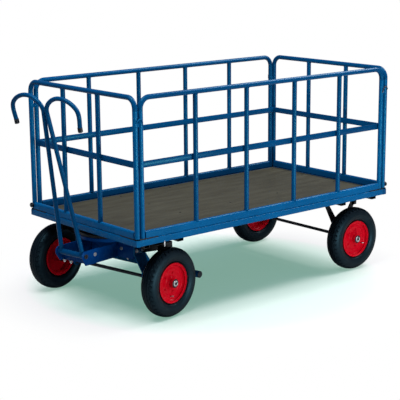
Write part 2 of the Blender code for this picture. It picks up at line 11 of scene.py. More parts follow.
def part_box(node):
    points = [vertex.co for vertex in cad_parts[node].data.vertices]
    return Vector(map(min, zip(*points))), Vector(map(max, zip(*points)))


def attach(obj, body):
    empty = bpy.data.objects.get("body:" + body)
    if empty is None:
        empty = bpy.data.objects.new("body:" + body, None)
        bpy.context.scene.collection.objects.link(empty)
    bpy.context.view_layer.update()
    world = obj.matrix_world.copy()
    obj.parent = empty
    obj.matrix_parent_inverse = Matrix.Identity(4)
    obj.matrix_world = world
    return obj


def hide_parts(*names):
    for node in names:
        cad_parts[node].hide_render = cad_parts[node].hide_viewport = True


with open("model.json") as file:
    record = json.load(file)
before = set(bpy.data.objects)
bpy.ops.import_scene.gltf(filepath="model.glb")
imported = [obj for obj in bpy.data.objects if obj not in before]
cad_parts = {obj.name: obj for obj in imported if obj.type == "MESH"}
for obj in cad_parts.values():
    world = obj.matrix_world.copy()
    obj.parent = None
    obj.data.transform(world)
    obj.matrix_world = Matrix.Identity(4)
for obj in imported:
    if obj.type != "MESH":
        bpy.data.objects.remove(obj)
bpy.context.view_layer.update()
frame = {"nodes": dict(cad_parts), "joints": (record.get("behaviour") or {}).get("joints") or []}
NODES = frame["nodes"]
JOINTS = {joint["name"]: joint for joint in frame["joints"]}
DRAWS = random.Random(7)

# Camera
CAMERA_PLACE = (4.8522, 5.6066, 1.6582)
CAMERA_AZIMUTH = math.radians(139.8222)
CAMERA_ELEVATION = math.radians(12.678)
CAMERA_ROLL = math.radians(-0.442)
CAMERA_LENS = 109.35

# How finely the visual pieces are divided
WHEEL_SIDES = 96
SEAL_SIDES = 48
TUBE_SIDES = 28
WELD_SIDES = 24
WELD_FACETS = 6
PLUG_SIDES = 24
DISC_SIDES = 20
STEM_SIDES = 14
BEAD_SIDES = 8
BEND_STEPS = 10
HORN_STEPS = 12
LUG_STEPS = 12
SMOOTH_ANGLE = math.radians(38)
MERGE_DISTANCE = 0.000005

# Sizes that the frame's boxes don't give, as in the CAD source
WALL_BEND_RADIUS = 0.06
BOLSTER_LENGTH = 0.09
RING_RADIUS = 0.18
RING_BORE_RADIUS = 0.11
RING_THICKNESS = 0.018
RAIL_WIDTH = 0.034
KERB_WIDTH = 0.028
SIDE_PLATE_THICKNESS = 0.008
BRAKE_BAR_RADIUS = 0.02
BRAKE_ARM_RADIUS = 0.012
BRAKE_ARM_SPREAD = 0.22
CARRIER_SPREAD = 0.7
CARRIER_THICKNESS = 0.008
DRAWBAR_LEAN = math.radians(11.5)
DRAWBAR_TUBE_RADIUS = 0.0125
SLEEVE_RADIUS = 0.017
SLEEVE_HALF_LENGTH = 0.1
LUG_THICKNESS = 0.008
LUG_RADIUS = 0.03
LUG_PLACE = 0.105
DRAWBAR_FOOT_HALF_WIDTH = 0.084
DRAWBAR_KNOTS = ((0.0128, 0.85), (0.109, 0.932), (0.246, 0.884), (0.25, 0.76))
STOP_PLATE_SETBACK = 0.03
STOP_PLATE_HEIGHT = 0.03

# Wheels, in each wheel's own axes with +Z outwards. Every profile here and below is of (radius, height)
TYRE_RADIUS = 0.2
TYRE_HALF_WIDTH = 0.05
TYRE_FOOT_RADIUS = 0.1163
TYRE_SQUARENESS = 2.5
TREAD_HALF_WIDTH = 0.041
TREAD_GROOVES = (-0.024, -0.008, 0.008, 0.024)
GROOVE_WIDTH = 0.0045
GROOVE_DEPTH = 0.0045
GROOVE_SLOPE = 0.001
BLOCK_COUNT = 40
BLOCK_SWEEP = 1.6
BLOCK_STATIONS = ((0.0, False), (0.76, False), (0.82, True), (0.94, True))
SIDEWALL_STEPS = 26
SIDEWALL_END_ANGLE = 1.18
SIDEWALL_RING_STEPS = (9, 10, 19, 20)
SIDEWALL_RING_HEIGHT = 0.0012
SIDEWALL_RELIEF = 0.0006
BEAD_RADIUS = 0.1048
BEAD_INSET = 0.004
AXLE_RADIUS = 0.01
HUB_HALF_LENGTH = 0.05
RIM_PROFILE = (
    (0.116, 0.0345), (0.1166, 0.036), (0.1157, 0.0373), (0.1138, 0.037), (0.1122, 0.0348),
    (0.1098, 0.03), (0.1052, 0.0248), (0.1012, 0.022), (0.0986, 0.0186), (0.096, 0.0164),
    (0.0905, 0.0156), (0.085, 0.017), (0.08, 0.0188), (0.074, 0.0188), (0.069, 0.0166),
    (0.064, 0.015), (0.048, 0.015), (0.042, 0.016), (0.037, 0.0196), (0.033, 0.0246),
    (0.029, 0.027), (0.0272, 0.0282), (0.027, 0.03), (0.027, 0.0488), (0.0264, 0.0498),
    (0.0254, 0.0498), (0.025, 0.0466), (0.0105, 0.0466), (0.0105, -0.05), (0.0258, -0.05),
    (0.027, -0.0488), (0.027, 0.006), (0.03, 0.0092), (0.042, 0.01), (0.09, 0.01),
    (0.096, 0.009), (0.0985, 0.006), (0.099, -0.018), (0.101, -0.0226), (0.106, -0.0262),
    (0.1104, -0.031), (0.1122, -0.0348), (0.1138, -0.037), (0.1157, -0.0373), (0.1166, -0.036),
    (0.116, -0.0345), (0.1115, -0.033), (0.104, -0.033), (0.104, 0.033), (0.1115, 0.033))
# The hub's dark seal ring, wide enough past the cap to be partly painted shade round it
SEAL_AND_SHADE_PROFILE = ((0.0106, 0.044), (0.0251, 0.044), (0.0251, 0.0484), (0.0244, 0.049), (0.0106, 0.049))
CAP_PROFILE = ((0.006, 0.048), (0.017, 0.048), (0.0176, 0.0488), (0.0176, 0.053), (0.016, 0.0552),
               (0.012, 0.056), (0.0095, 0.0552), (0.0085, 0.05), (0.006, 0.05))
HUB_NUT_PROFILE = ((0.0, 0.0485), (0.008, 0.0485), (0.008, 0.052), (0.006, 0.0532), (0.0, 0.0534))
INNER_SEAL_SHARE = 1.03
HUB_PIN = ((-0.018, -0.0022, 0.0525), (0.002, 0.0022, 0.0572))
HUB_PIN_TURN = -60
RIM_BOLT_COUNT = 5
RIM_BOLT_PLACE = (0.056, 0, 0.015)
RIM_BOLT = (0.0058, 0.0044)
# The hub's weld as (radius, size)
RIM_WELD = (0.0272, 0.002)
RIM_WELD_HEIGHT = 0.0062
VALVE_PROFILE = ((0, 0), (0.0042, 0), (0.0042, 0.016), (0.0034, 0.0175), (0.0034, 0.023), (0.0028, 0.0245),
                 (0, 0.0245))
VALVE_PLACE = (0.082, 0, 0.017)
VALVE_LEAN = -18
VALVE_TURNS = {"front_left": 84, "front_right": -40, "rear_left": 150, "rear_right": 30}

# Bolts and nuts, here and elsewhere as (radius, height), welds and edges
BOLT = (0.0075, 0.006)
HEAD_SHARES = ((0, 0), (1, 0), (1, 0.8), (0.86, 1), (0, 1))
WASHER_THICKNESS = 0.0016
WASHER_SHARES = ((0, 0), (1.55, 0), (1.55, 0.7), (1.4725, 1), (0, 1))
STEM_RADIUS_SHARE = 0.55
STEM_TOP_SHARE = 0.8
STEM_LENGTH = 0.006
WELD_SIZE = 0.0022
WELD_RIPPLES = 9
WELD_RIPPLE_SHARE = 0.22
WELD_NOISE_SHARE = 0.1
WELD_INSET = 0.004
FINE_BEVEL = 0.0008
EDGE_BEVEL = 0.001
BEVEL = 0.002

# Walls and corners
UPRIGHT_OVERLAP_SHARE = 0.4
UPRIGHT_WELD_HEIGHT = 0.0012
CROSSING_WELD_SHARE = 0.42
FOOT_HEIGHT = 0.006
FOOT_RADIUS_SHARE = 0.8
POST_LIFT = 0.0045
POST_OVERLAP = 0.002
CLIP_HALF_SIZE = Vector((0.018, 0.006, 0.011))
HOOK_HEIGHT = 0.63
# On the side wall's post or not, and how far back, out and up from the clip
HOOK_BENDS = ((False, 0, 0, 0.012), (False, 0, 0.006, 0.02), (False, 0.01, 0.008, 0.034),
              (False, 0.026, 0.007, 0.034), (True, 0, 0.005, 0.018), (True, 0.004, 0.001, -0.004))

# Deck and its edges
# The far rails, which take the walls' darker blue as painted shade
PAINTED_SHADE_RAILS = ("side_rail_right", "end_rail_rear")
RAIL_BEND = 0.004
RAIL_BEND_STEPS = 4
KERB_BEND = 0.011
KERB_BEND_STEPS = 5
# The kerb's folded foot as (inset, height)
KERB_FOOT = ((0.004, -0.002), (0.004, 0.003), (0, 0.006))
KERB_END_GAP = 0.0003
# Dark strips along the groove under the kerbs by each corner: painted shade
SHADE_STRIP_REACH = 0.135
SHADE_STRIP_OVERHANG = 0.0015
SHADE_STRIP_INSET = 0.006
SHADE_STRIP_HEIGHTS = (0.0004, 0.0068)
PLUG_PROFILE = ((0, 0), (0.013, 0), (0.0145, 0.004), (0.0145, 0.012), (0.0115, 0.0155), (0, 0.0165))
PLUG_HEIGHT = 0.028
PLUG_INSET = 0.003
STUD_SETBACK = 0.141
STUD_STANDOFF = 0.0012
STUD_HEIGHTS = (-0.03, -0.062)
SCREW_PROFILE = ((0, 0.0008), (0.003, 0.0006), (0.0034, 0.0016), (0.0062, 0.001), (0.0066, -0.001))
SCREW_COLUMNS = (-0.92, -0.4, 0.0, 0.4, 0.92)
SCREW_ROW = 0.15
SCREW_MARGIN = 0.05
BEAM_WALL = 0.003
BEAM_MOUTH = 0.03
MOUTH_OVERLAP = 0.002

# Turntable and bogie
RING_NUT = (0.008, 0.0065)
RING_NUT_INSET = 0.01
LUG_WELD_START = 0.006
STOP_PLATE_HALF = 0.003
BAR_PLUG_PROFILE = ((0, 0), (0.0202, 0), (0.0202, 0.002), (0.0175, 0.0045), (0, 0.0052))
BAR_PLUG_INSET = 0.0042
BAR_END_INSET = 0.004
ARM_BENDS = ((-0.006, -0.003), (0.01, 0))
ARM_BEND_START = 0.022
PLATE_BOLT_X = 0.026
PLATE_BOLT_DROPS = (-0.004, 0.036)
BEAM_NUT_PLACE = (0.028, 0.17)
BEAM_BOLT_OFFSET = 0.03
CHEEK_BOLT_X = 0.232
STOP_NUT = (0.0085, 0.012)
STOP_NUT_PLACES = (-0.096, -0.044)
WEB_THICKNESS = 0.004
WEB_CLEARANCE = 0.018
WEB_SPAN = (-0.112, 0.012)
WEB_PLATE_X = -0.03
WEB_DEPTH = 0.076
WEB_LIP = 0.034

# Drawbar
SLEEVE_BORE_RADIUS = 0.0085
TUBE_START_SHARE = 0.7
TIP_CAP_PROFILE = ((0.0125, -0.024), (0.0137, -0.0235), (0.0137, 0.001), (0.0107, 0.0035), (0, 0.0042))
NECK_BEAD_PROFILE = ((0, -0.004), (0.0035, -0.0025), (0.0042, 0), (0.0035, 0.0025), (0, 0.004))
NECK_BEAD_HEIGHTS = [0.795 + 0.008 * step for step in range(9)]
NECK_BEAD_OFFSET = 0.0068
PIN_HEAD_PROFILE = ((0, 0), (0.0135, 0), (0.0135, 0.0045), (0.012, 0.006), (0, 0.006))
PIN_WASHER_RADIUS = 0.0125
PIN_WASHER_THICKNESS = 0.0022
SPLIT_PIN_ENDS = (-0.014, 0.013)

# Axles and the rear carriers
COLLAR_RADIUS = 0.0185
COLLAR_LENGTH = 0.012
HUB_GAP = 0.002
INNER_BOSS_LENGTH = 0.01
GUSSET_SPAN = (0.005, 0.051)
GUSSET_DEPTH = 0.06
CARRIER_FOOT_SPAN = (0.004, 0.034)
CARRIER_FOOT_HALF = 0.018
CARRIER_FOOT_THICKNESS = 0.006
CARRIER_NUT = (0.0065, 0.0055)

# Floor, lamps and world
FLOOR_BOUNCE = (0.42, 0.44, 0.43)
FLOOR_TONES = (0.89, 0.92)
# Painted light: near the cart the floor glows for the camera only, which lifts its shadow and tints it green
FLOOR_GLOW = 0.34
FLOOR_GLOW_SPAN = 0.3
FLOOR_GLOW_TINT = (0.52, 1.0, 0.78)
# The centre of the painted glow's fade to plain white
FADE_CENTRE_X = 0.08
WHITE = (1, 1, 1)
# Name, place, aim, width and height, and power
LAMPS = (("front_lamp", (2.0, 0.4, 4.4), (0, 0, 0), (2.6, 2.6), 210),
         ("back_lamp", (-3.4, 0.6, 3.9), (0, 0, 0), (2.6, 2.6), 230),
         ("near_lamp", (-0.2, 4.5, -0.3), (-0.2, 0.5, -0.15), (2.4, 0.34), 115))

IDENTITY = Matrix.Identity(4)
CROSSWISE = Matrix(((0, 0, 1), (1, 0, 0), (0, 1, 0))).to_4x4()


def shifted(x, y, z):
    return Matrix.Translation((x, y, z))


def turned_about(axis, degrees):
    return Matrix.Rotation(math.radians(degrees), 4, axis)


def along(start, end):
    """A place whose origin is the start and whose +Z runs to the end."""
    turn = (Vector(end) - Vector(start)).to_track_quat("Z", "Y")
    return Matrix.Translation(start) @ turn.to_matrix().to_4x4()


def facing(x, y):
    """A turn that brings +Z level, towards (x, y)."""
    return along((0, 0, 0), (x, y, 0))


def bogie_place():
    """The bogie's own axes: the origin is on the steering axis at the deck's height."""
    pivot = Vector(JOINTS["steering"]["pos_m"])
    axis = Vector(JOINTS["drawbar_tilt"]["axis"])
    if axis.y < 0:
        axis = -axis
    turn = math.atan2(-axis.x, axis.y)
    return Matrix.Translation((pivot.x, pivot.y, 0)) @ Matrix.Rotation(turn, 4, "Z")


def drawbar_place():
    pivot = BOGIE.inverted() @ Vector(JOINTS["drawbar_tilt"]["pos_m"])
    return BOGIE @ Matrix.Translation((pivot.x, 0, pivot.z)) @ Matrix.Rotation(DRAWBAR_LEAN, 4, "Y")


def wheel_place(corner):
    """A wheel's own axes, with +Z pointing out of the cart along its axle."""
    hub = Matrix.Translation(JOINTS[f"wheel_{corner}_spin"]["pos_m"])
    heading = BOGIE.to_3x3().to_4x4() if corner.startswith("front") else IDENTITY
    return hub @ heading @ turned_about("X", -90 if corner.endswith("left") else 90)


BOGIE = bogie_place()
DRAWBAR = drawbar_place()


def box_in(node, place):
    """A node's lowest and highest corners, measured in another set of axes."""
    inverse = place.inverted()
    points = [inverse @ vertex.co for vertex in NODES[node].data.vertices]
    low = Vector([min(point[axis] for point in points) for axis in range(3)])
    high = Vector([max(point[axis] for point in points) for axis in range(3)])
    return low, high


def absorb(shape, other):
    """Put another shape's faces into the first one."""
    carrier = bpy.data.meshes.new("carrier")
    other.to_mesh(carrier)
    other.free()
    shape.from_mesh(carrier)
    bpy.data.meshes.remove(carrier)


def round_angles(count):
    return [2 * math.pi * step / count for step in range(count)]


def polar(radius, angle, height):
    return Vector((radius * math.cos(angle), radius * math.sin(angle), height))


def add_rings(shape, rings, place=IDENTITY, closed_round=True, closed_along=False):
    """Faces between rings of points that all have the same count, with flat ends unless closed along."""
    rings = [[shape.verts.new(place @ point) for point in ring] for ring in rings]
    count = len(rings[0])
    pairs = list(zip(rings, rings[1:]))
    if closed_along:
        pairs.append((rings[-1], rings[0]))
    else:
        shape.faces.new(rings[0][::-1])
        shape.faces.new(rings[-1])
    for first, second in pairs:
        for index in range(count if closed_round else count - 1):
            following = (index + 1) % count
            shape.faces.new((first[index], first[following], second[following], second[index]))


def add_turned(shape, profile, sides, place):
    """A profile of (radius, height) points, turned about the place's Z. One with an end on Z stays open."""
    rings = [[polar(radius, angle, height) for radius, height in profile] for angle in round_angles(sides)]
    add_rings(shape, rings, place, min(profile[0][0], profile[-1][0]) > 0, True)


def add_tube(shape, points, radius, place=IDENTITY, sides=TUBE_SIDES):
    """A round tube along the points, with flat ends."""
    path = [place @ Vector(point) for point in points]
    tangents = []
    for index in range(len(path)):
        before = path[max(index - 1, 0)]
        after = path[min(index + 1, len(path) - 1)]
        tangents.append((after - before).normalized())
    normal = tangents[0].orthogonal().normalized()
    rings = []
    for point, tangent in zip(path, tangents):
        normal = (normal - tangent * normal.dot(tangent)).normalized()
        across = tangent.cross(normal)
        rings.append([point + radius * (math.cos(angle) * normal + math.sin(angle) * across)
                      for angle in round_angles(sides)])
    add_rings(shape, rings)


def add_block(shape, corner, opposite, bevel, place=IDENTITY, segments=2):
    """A box between two opposite corners, with rounded edges."""
    corner, opposite = Vector(corner), Vector(opposite)
    size = [abs(side) for side in opposite - corner]
    block = bmesh.new()
    bmesh.ops.create_cube(block, size=1)
    bmesh.ops.scale(block, vec=size, verts=block.verts)
    bmesh.ops.translate(block, vec=(corner + opposite) / 2, verts=block.verts)
    bmesh.ops.bevel(block, geom=block.edges[:], offset=bevel, segments=segments, profile=0.5, affect="EDGES")
    block.transform(place)
    absorb(shape, block)


def add_plate(shape, outline, thickness, place, bevel):
    """A flat outline in XY, given thickness about z = 0, with its rim rounded."""
    plate = bmesh.new()
    face = plate.faces.new([plate.verts.new((x, y, -thickness / 2)) for x, y in outline])
    grown = bmesh.ops.extrude_face_region(plate, geom=[face])
    moved = [item for item in grown["geom"] if isinstance(item, bmesh.types.BMVert)]
    bmesh.ops.translate(plate, vec=(0, 0, thickness), verts=moved)
    rim = [edge for edge in plate.edges if abs(edge.verts[0].co.z - edge.verts[1].co.z) < MERGE_DISTANCE]
    bmesh.ops.bevel(plate, geom=rim, offset=bevel, segments=2, profile=0.5, affect="EDGES")
    plate.transform(place)
    absorb(shape, plate)


def add_section(shape, outline, half, place):
    """An outline in YZ, run along X by half its length either way, with flat ends."""
    add_rings(shape, [[Vector((x, y, z)) for y, z in outline] for x in (-half, half)], place)


def add_weld(shape, place, radius, size=WELD_SIZE):
    """A rippled bead around a tube of that radius, in the place's XY."""
    rings = []
    for angle in round_angles(WELD_SIDES):
        ripple = WELD_RIPPLE_SHARE * math.sin(WELD_RIPPLES * angle)
        swell = size * (1 + ripple + DRAWS.uniform(-WELD_NOISE_SHARE, WELD_NOISE_SHARE))
        rings.append([polar(radius + swell * math.cos(lean), angle, swell * math.sin(lean))
                      for lean in round_angles(WELD_FACETS)])
    add_rings(shape, rings, place, closed_along=True)


def add_bolt(shape, place, radius=BOLT[0], height=BOLT[1]):
    """A hexagon head on a washer, standing on the place's XY."""
    washer = [(radius * out, WASHER_THICKNESS * up) for out, up in WASHER_SHARES]
    add_turned(shape, washer, DISC_SIDES, place)
    head = [(radius * out, WASHER_THICKNESS + height * up) for out, up in HEAD_SHARES]
    add_turned(shape, head, sides=6, place=place)


def add_nut(shape, place, radius=BOLT[0], height=BOLT[1]):
    """A nut with the end of its bolt standing out."""
    add_bolt(shape, place, radius, height)
    stem = radius * STEM_RADIUS_SHARE
    top = height + STEM_LENGTH
    profile = ((0, height), (stem, height), (stem, top - EDGE_BEVEL), (stem * STEM_TOP_SHARE, top), (0, top))
    add_turned(shape, profile, STEM_SIDES, place)


def hanging(x, y, z):
    """A place under a face, with +Z down."""
    return shifted(x, y, z) @ turned_about("X", 180)


def arc(centre, radius, start, end, steps):
    """Points along an arc, with its angles in degrees."""
    turns = [math.radians(start + (end - start) * step / steps) for step in range(steps + 1)]
    return [(centre[0] + radius * math.cos(turn), centre[1] + radius * math.sin(turn)) for turn in turns]


def finish_piece(name, shape, body, material, slot, *replaced):
    """Turn a shape into a piece of the cart that rides on a body. The slot it is given is not used."""
    bmesh.ops.remove_doubles(shape, verts=shape.verts, dist=MERGE_DISTANCE)
    bmesh.ops.recalc_face_normals(shape, faces=shape.faces)
    mesh = bpy.data.meshes.new(name)
    shape.to_mesh(mesh)
    shape.free()
    mesh.shade_smooth()
    mesh.set_sharp_from_angle(angle=SMOOTH_ANGLE)
    mesh.materials.append(material)
    piece = bpy.data.objects.new(name, mesh)
    bpy.context.scene.collection.objects.link(piece)
    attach(piece, body)
    if replaced:
        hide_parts(*replaced)


def new_material(name):
    """A material, its node tree and its main shader."""
    material = bpy.data.materials.new(name)
    material.use_nodes = True
    return material, material.node_tree, material.node_tree.nodes["Principled BSDF"]


def set_inputs(node, values):
    for socket, value in values.items():
        node.inputs[socket].default_value = value


def add_node(tree, kind, values=None):
    node = tree.nodes.new(f"ShaderNode{kind}")
    set_inputs(node, values or {})
    return node


def connect(tree, source, output, target, socket):
    tree.links.new(source.outputs[output], target.inputs[socket])


def noise_node(tree, scale, detail, stretch=(1, 1, 1)):
    """Noise over the piece's own axes, which may be stretched."""
    mapping = add_node(tree, "Mapping", {"Scale": stretch})
    noise = add_node(tree, "TexNoise", {"Scale": scale, "Detail": detail})
    connect(tree, add_node(tree, "TexCoord"), "Object", mapping, "Vector")
    connect(tree, mapping, "Vector", noise, "Vector")
    return noise


def add_ramp(tree, source, stops, target, socket, output="Fac"):
    """A colour ramp over one output, from (position, colour) stops, that feeds a socket."""
    ramp = add_node(tree, "ValToRGB")
    elements = ramp.color_ramp.elements
    while len(elements) < len(stops):
        elements.new(0.5)
    for element, (position, colour) in zip(elements, stops):
        element.position = position
        element.color = (*colour, 1)
    connect(tree, source, output, ramp, "Fac")
    connect(tree, ramp, "Color", target, socket)


def add_bump(tree, source, output, strength, distance, shader):
    bump = add_node(tree, "Bump", {"Strength": strength, "Distance": distance})
    connect(tree, source, output, bump, "Height")
    connect(tree, bump, "Normal", shader, "Normal")


def grey(value):
    return (value, value, value)


def paint_material(name, dark, light, roughness, shine, shine_tint=WHITE):
    """Sprayed paint: a little darker and lighter in patches, with a faint orange peel."""
    material, tree, shader = new_material(name)
    patches = noise_node(tree, scale=3.5, detail=6.0)
    add_ramp(tree, patches, ((0.3, dark), (0.7, light)), shader, "Base Color")
    gloss = ((0.25, grey(roughness * 0.8)), (0.75, grey(roughness * 1.25)))
    add_ramp(tree, noise_node(tree, scale=40, detail=5.0), gloss, shader, "Roughness")
    peel = noise_node(tree, scale=420, detail=2.0)
    add_bump(tree, peel, "Fac", strength=0.12, distance=0.0004, shader=shader)
    set_inputs(shader, {"Specular IOR Level": shine, "Specular Tint": (*shine_tint, 1)})
    return material


def rubber_material():
    """Black rubber, dustier in patches, with fine pores."""
    material, tree, shader = new_material("tyre_rubber")
    dust = ((0.35, (0.0022, 0.0042, 0.0062)), (0.75, (0.006, 0.009, 0.012)))
    add_ramp(tree, noise_node(tree, scale=14, detail=6.0), dust, shader, "Base Color")
    pores = noise_node(tree, scale=700, detail=3.0)
    add_bump(tree, pores, "Fac", strength=0.25, distance=0.0005, shader=shader)
    set_inputs(shader, {"Roughness": 0.44, "Specular IOR Level": 0.24, "Specular Tint": (0.3, 0.75, 1.0, 1)})
    return material


def board_material():
    """Resin-faced board: brown-grey, with faint streaks along the cart and a fine grip pattern."""
    material, tree, shader = new_material("deck_resin_board")
    streaks = noise_node(tree, scale=9, detail=7.0, stretch=(0.35, 2.2, 1))
    browns = ((0.28, (0.039, 0.034, 0.019)), (0.52, (0.051, 0.047, 0.029)), (0.78, (0.064, 0.061, 0.04)))
    add_ramp(tree, streaks, browns, shader, "Base Color")
    scuffs = noise_node(tree, scale=26, detail=6.0, stretch=(0.6, 1.4, 1))
    add_ramp(tree, scuffs, ((0.3, grey(0.42)), (0.72, grey(0.62))), shader, "Roughness")
    grip = add_node(tree, "TexVoronoi", {"Scale": 170, "Randomness": 0.15})
    connect(tree, add_node(tree, "TexCoord"), "Object", grip, "Vector")
    add_bump(tree, grip, "Distance", strength=0.3, distance=0.0006, shader=shader)
    set_inputs(shader, {"Specular IOR Level": 0.25})
    return material


def metal_material(name, dark, light, roughness):
    """Plated or bare steel with a fine brushed grain."""
    material, tree, shader = new_material(name)
    add_ramp(tree, noise_node(tree, scale=60, detail=5.0), ((0.3, dark), (0.7, light)), shader, "Base Color")
    gloss = ((0.3, grey(roughness * 0.8)), (0.7, grey(roughness * 1.3)))
    add_ramp(tree, noise_node(tree, scale=150, detail=4.0), gloss, shader, "Roughness")
    set_inputs(shader, {"Metallic": 0.85})
    return material


BLUE_SHINE = (0.12, 0.8, 0.95)
BLUE = paint_material("blue_gloss", (0.0008, 0.072, 0.205), (0.0014, 0.1, 0.275), 0.25, 0.16, BLUE_SHINE)
WALL_BLUE = paint_material(
    "blue_gloss_walls", (0.0005, 0.046, 0.142), (0.001, 0.064, 0.188), 0.26, 0.14, BLUE_SHINE)
# A darker blue for the bogie under the deck: painted shade
BOGIE_SHADE_BLUE = paint_material(
    "blue_gloss_bogie_painted_shade", (0.0005, 0.03, 0.145), (0.0009, 0.044, 0.195), 0.26, 0.14, (0.12, 0.6, 1.0))
BLACK = paint_material("black_satin", (0.003, 0.0036, 0.0048), (0.0062, 0.007, 0.0086), 0.4, 0.3)
RED = paint_material("red_gloss", (0.46, 0.0006, 0.008), (0.6, 0.0012, 0.014), 0.28, 0.16, (1.0, 0.2, 0.25))
PLASTIC = paint_material("dark_plastic", (0.003, 0.005, 0.01), (0.006, 0.009, 0.016), 0.45, 0.25)
RUBBER = rubber_material()
BOARD = board_material()
ZINC = metal_material("zinc_plate", (0.5, 0.51, 0.52), (0.66, 0.67, 0.68), 0.34)
STEEL = metal_material("dark_steel", (0.035, 0.036, 0.04), (0.07, 0.072, 0.078), 0.42)


def tread_radius(height):
    """The tyre's outline: how far out it lies at a height across the tread."""
    mid = (TYRE_RADIUS + TYRE_FOOT_RADIUS) / 2
    share = min(abs(height) / TYRE_HALF_WIDTH, 1)
    return mid + (TYRE_RADIUS - mid) * (1 - share ** TYRE_SQUARENESS) ** (1 / TYRE_SQUARENESS)


def tread_stations():
    """(height, drop) across the tread, with its grooves."""
    stations = [(-TREAD_HALF_WIDTH, 0.0)]
    for groove in TREAD_GROOVES:
        half = GROOVE_WIDTH / 2
        stations += [(groove - half, 0.0), (groove - half + GROOVE_SLOPE, GROOVE_DEPTH),
                     (groove + half - GROOVE_SLOPE, GROOVE_DEPTH), (groove + half, 0.0)]
    stations.append((TREAD_HALF_WIDTH, 0.0))
    return stations


def sidewall_points():
    """(radius, height) down one side wall with its raised rings, from the tread to the rim."""
    mid = (TYRE_RADIUS + TYRE_FOOT_RADIUS) / 2
    rise = TYRE_RADIUS - mid
    start = math.acos((TREAD_HALF_WIDTH / TYRE_HALF_WIDTH) ** (TYRE_SQUARENESS / 2))
    points = []
    for step in range(1, SIDEWALL_STEPS + 1):
        angle = start - (start + SIDEWALL_END_ANGLE) * step / SIDEWALL_STEPS
        across = abs(math.cos(angle)) ** (2 / TYRE_SQUARENESS)
        up = math.copysign(abs(math.sin(angle)) ** (2 / TYRE_SQUARENESS), math.sin(angle))
        ring = SIDEWALL_RING_HEIGHT if step in SIDEWALL_RING_STEPS else 0.0
        points.append((mid + rise * up, TYRE_HALF_WIDTH * across + ring - SIDEWALL_RELIEF))
    return points


def add_tyre(corner):
    """A tyre with ribs, slotted shoulder blocks and ringed side walls."""
    shape = bmesh.new()
    side = sidewall_points()
    place = wheel_place(corner)
    foot = [(BEAD_RADIUS, side[-1][1] - BEAD_INSET)]
    groove_edge = TREAD_GROOVES[-1] + GROOVE_WIDTH / 2 - MERGE_DISTANCE
    rings = []
    pitch = 2 * math.pi / BLOCK_COUNT
    for block in range(BLOCK_COUNT):
        for share, slotted in BLOCK_STATIONS:
            base = (block + share) * pitch
            ring = [(radius, -height, base) for radius, height in reversed(side + foot)]
            for height, drop in tread_stations():
                depth = GROOVE_DEPTH if slotted and abs(height) >= groove_edge else drop
                lead = BLOCK_SWEEP * abs(height)
                ring.append((tread_radius(height) - depth, height, base + lead))
            ring += [(radius, height, base) for radius, height in side + foot]
            rings.append([polar(radius, angle, height) for radius, height, angle in ring])
    add_rings(shape, rings, place, closed_along=True)
    finish_piece(f"tyre_dressed_{corner}", shape, f"wheel_{corner}", RUBBER, "tyre", f"tyre_{corner}")


def add_rim(corner):
    """The pressed rim with its painted bolts, and the hub's seal, widened as painted shade round the cap, its
    cap and valve.
    """
    place = wheel_place(corner)
    body = f"wheel_{corner}"
    rim = bmesh.new()
    add_turned(rim, RIM_PROFILE, WHEEL_SIDES, place)
    for index in range(RIM_BOLT_COUNT):
        seat = place @ turned_about("Z", 360 * (index + 0.5) / RIM_BOLT_COUNT)
        add_bolt(rim, seat @ shifted(*RIM_BOLT_PLACE), *RIM_BOLT)
    add_weld(rim, place @ shifted(0, 0, RIM_WELD_HEIGHT), *RIM_WELD)
    finish_piece(f"rim_dressed_{corner}", rim, body, RED, "red_paint", f"rim_{corner}")
    # Dark seal rings; the outer one is partly painted shade round the hub cap
    seal = bmesh.new()
    add_turned(seal, SEAL_AND_SHADE_PROFILE, SEAL_SIDES, place)
    inner_seal = [(radius, -height * INNER_SEAL_SHARE) for radius, height in SEAL_AND_SHADE_PROFILE]
    add_turned(seal, inner_seal, SEAL_SIDES, place)
    add_turned(seal, HUB_NUT_PROFILE, PLUG_SIDES, place)
    pin = place @ turned_about("Z", VALVE_TURNS[corner] + HUB_PIN_TURN)
    add_block(seal, *HUB_PIN, FINE_BEVEL, pin)
    finish_piece(f"hub_seals_and_shade_{corner}", seal, body, PLASTIC, "black_paint")
    cap = bmesh.new()
    add_turned(cap, CAP_PROFILE, sides=40, place=place)
    valve = place @ turned_about("Z", VALVE_TURNS[corner]) @ shifted(*VALVE_PLACE)
    add_turned(cap, VALVE_PROFILE, STEM_SIDES, valve @ turned_about("Y", VALVE_LEAN))
    finish_piece(f"hub_cap_{corner}", cap, body, ZINC, "bare_steel")


def upright_ends(node):
    """An upright's foot and head, and its radius."""
    low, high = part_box(node)
    foot = (low + high) / 2
    head = foot.copy()
    foot.z, head.z = low.z, high.z
    return foot, head, (high.x - low.x) / 2


def hoop_path(node, axis):
    """The top tube's path with its two bends, and its radius."""
    low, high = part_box(node)
    radius = (high[1 - axis] - low[1 - axis]) / 2
    half = high[axis] - radius
    top = high.z - radius
    across = (low[1 - axis] + high[1 - axis]) / 2
    bend = (half - WALL_BEND_RADIUS, top - WALL_BEND_RADIUS)
    right = [(half, low.z)] + arc(bend, WALL_BEND_RADIUS, 0, 90, BEND_STEPS)
    flat = right + [(-reach, height) for reach, height in reversed(right)]
    path = []
    for reach, height in flat:
        point = Vector((0, 0, height))
        point[axis] = reach
        point[1 - axis] = across
        path.append(point)
    return path, radius


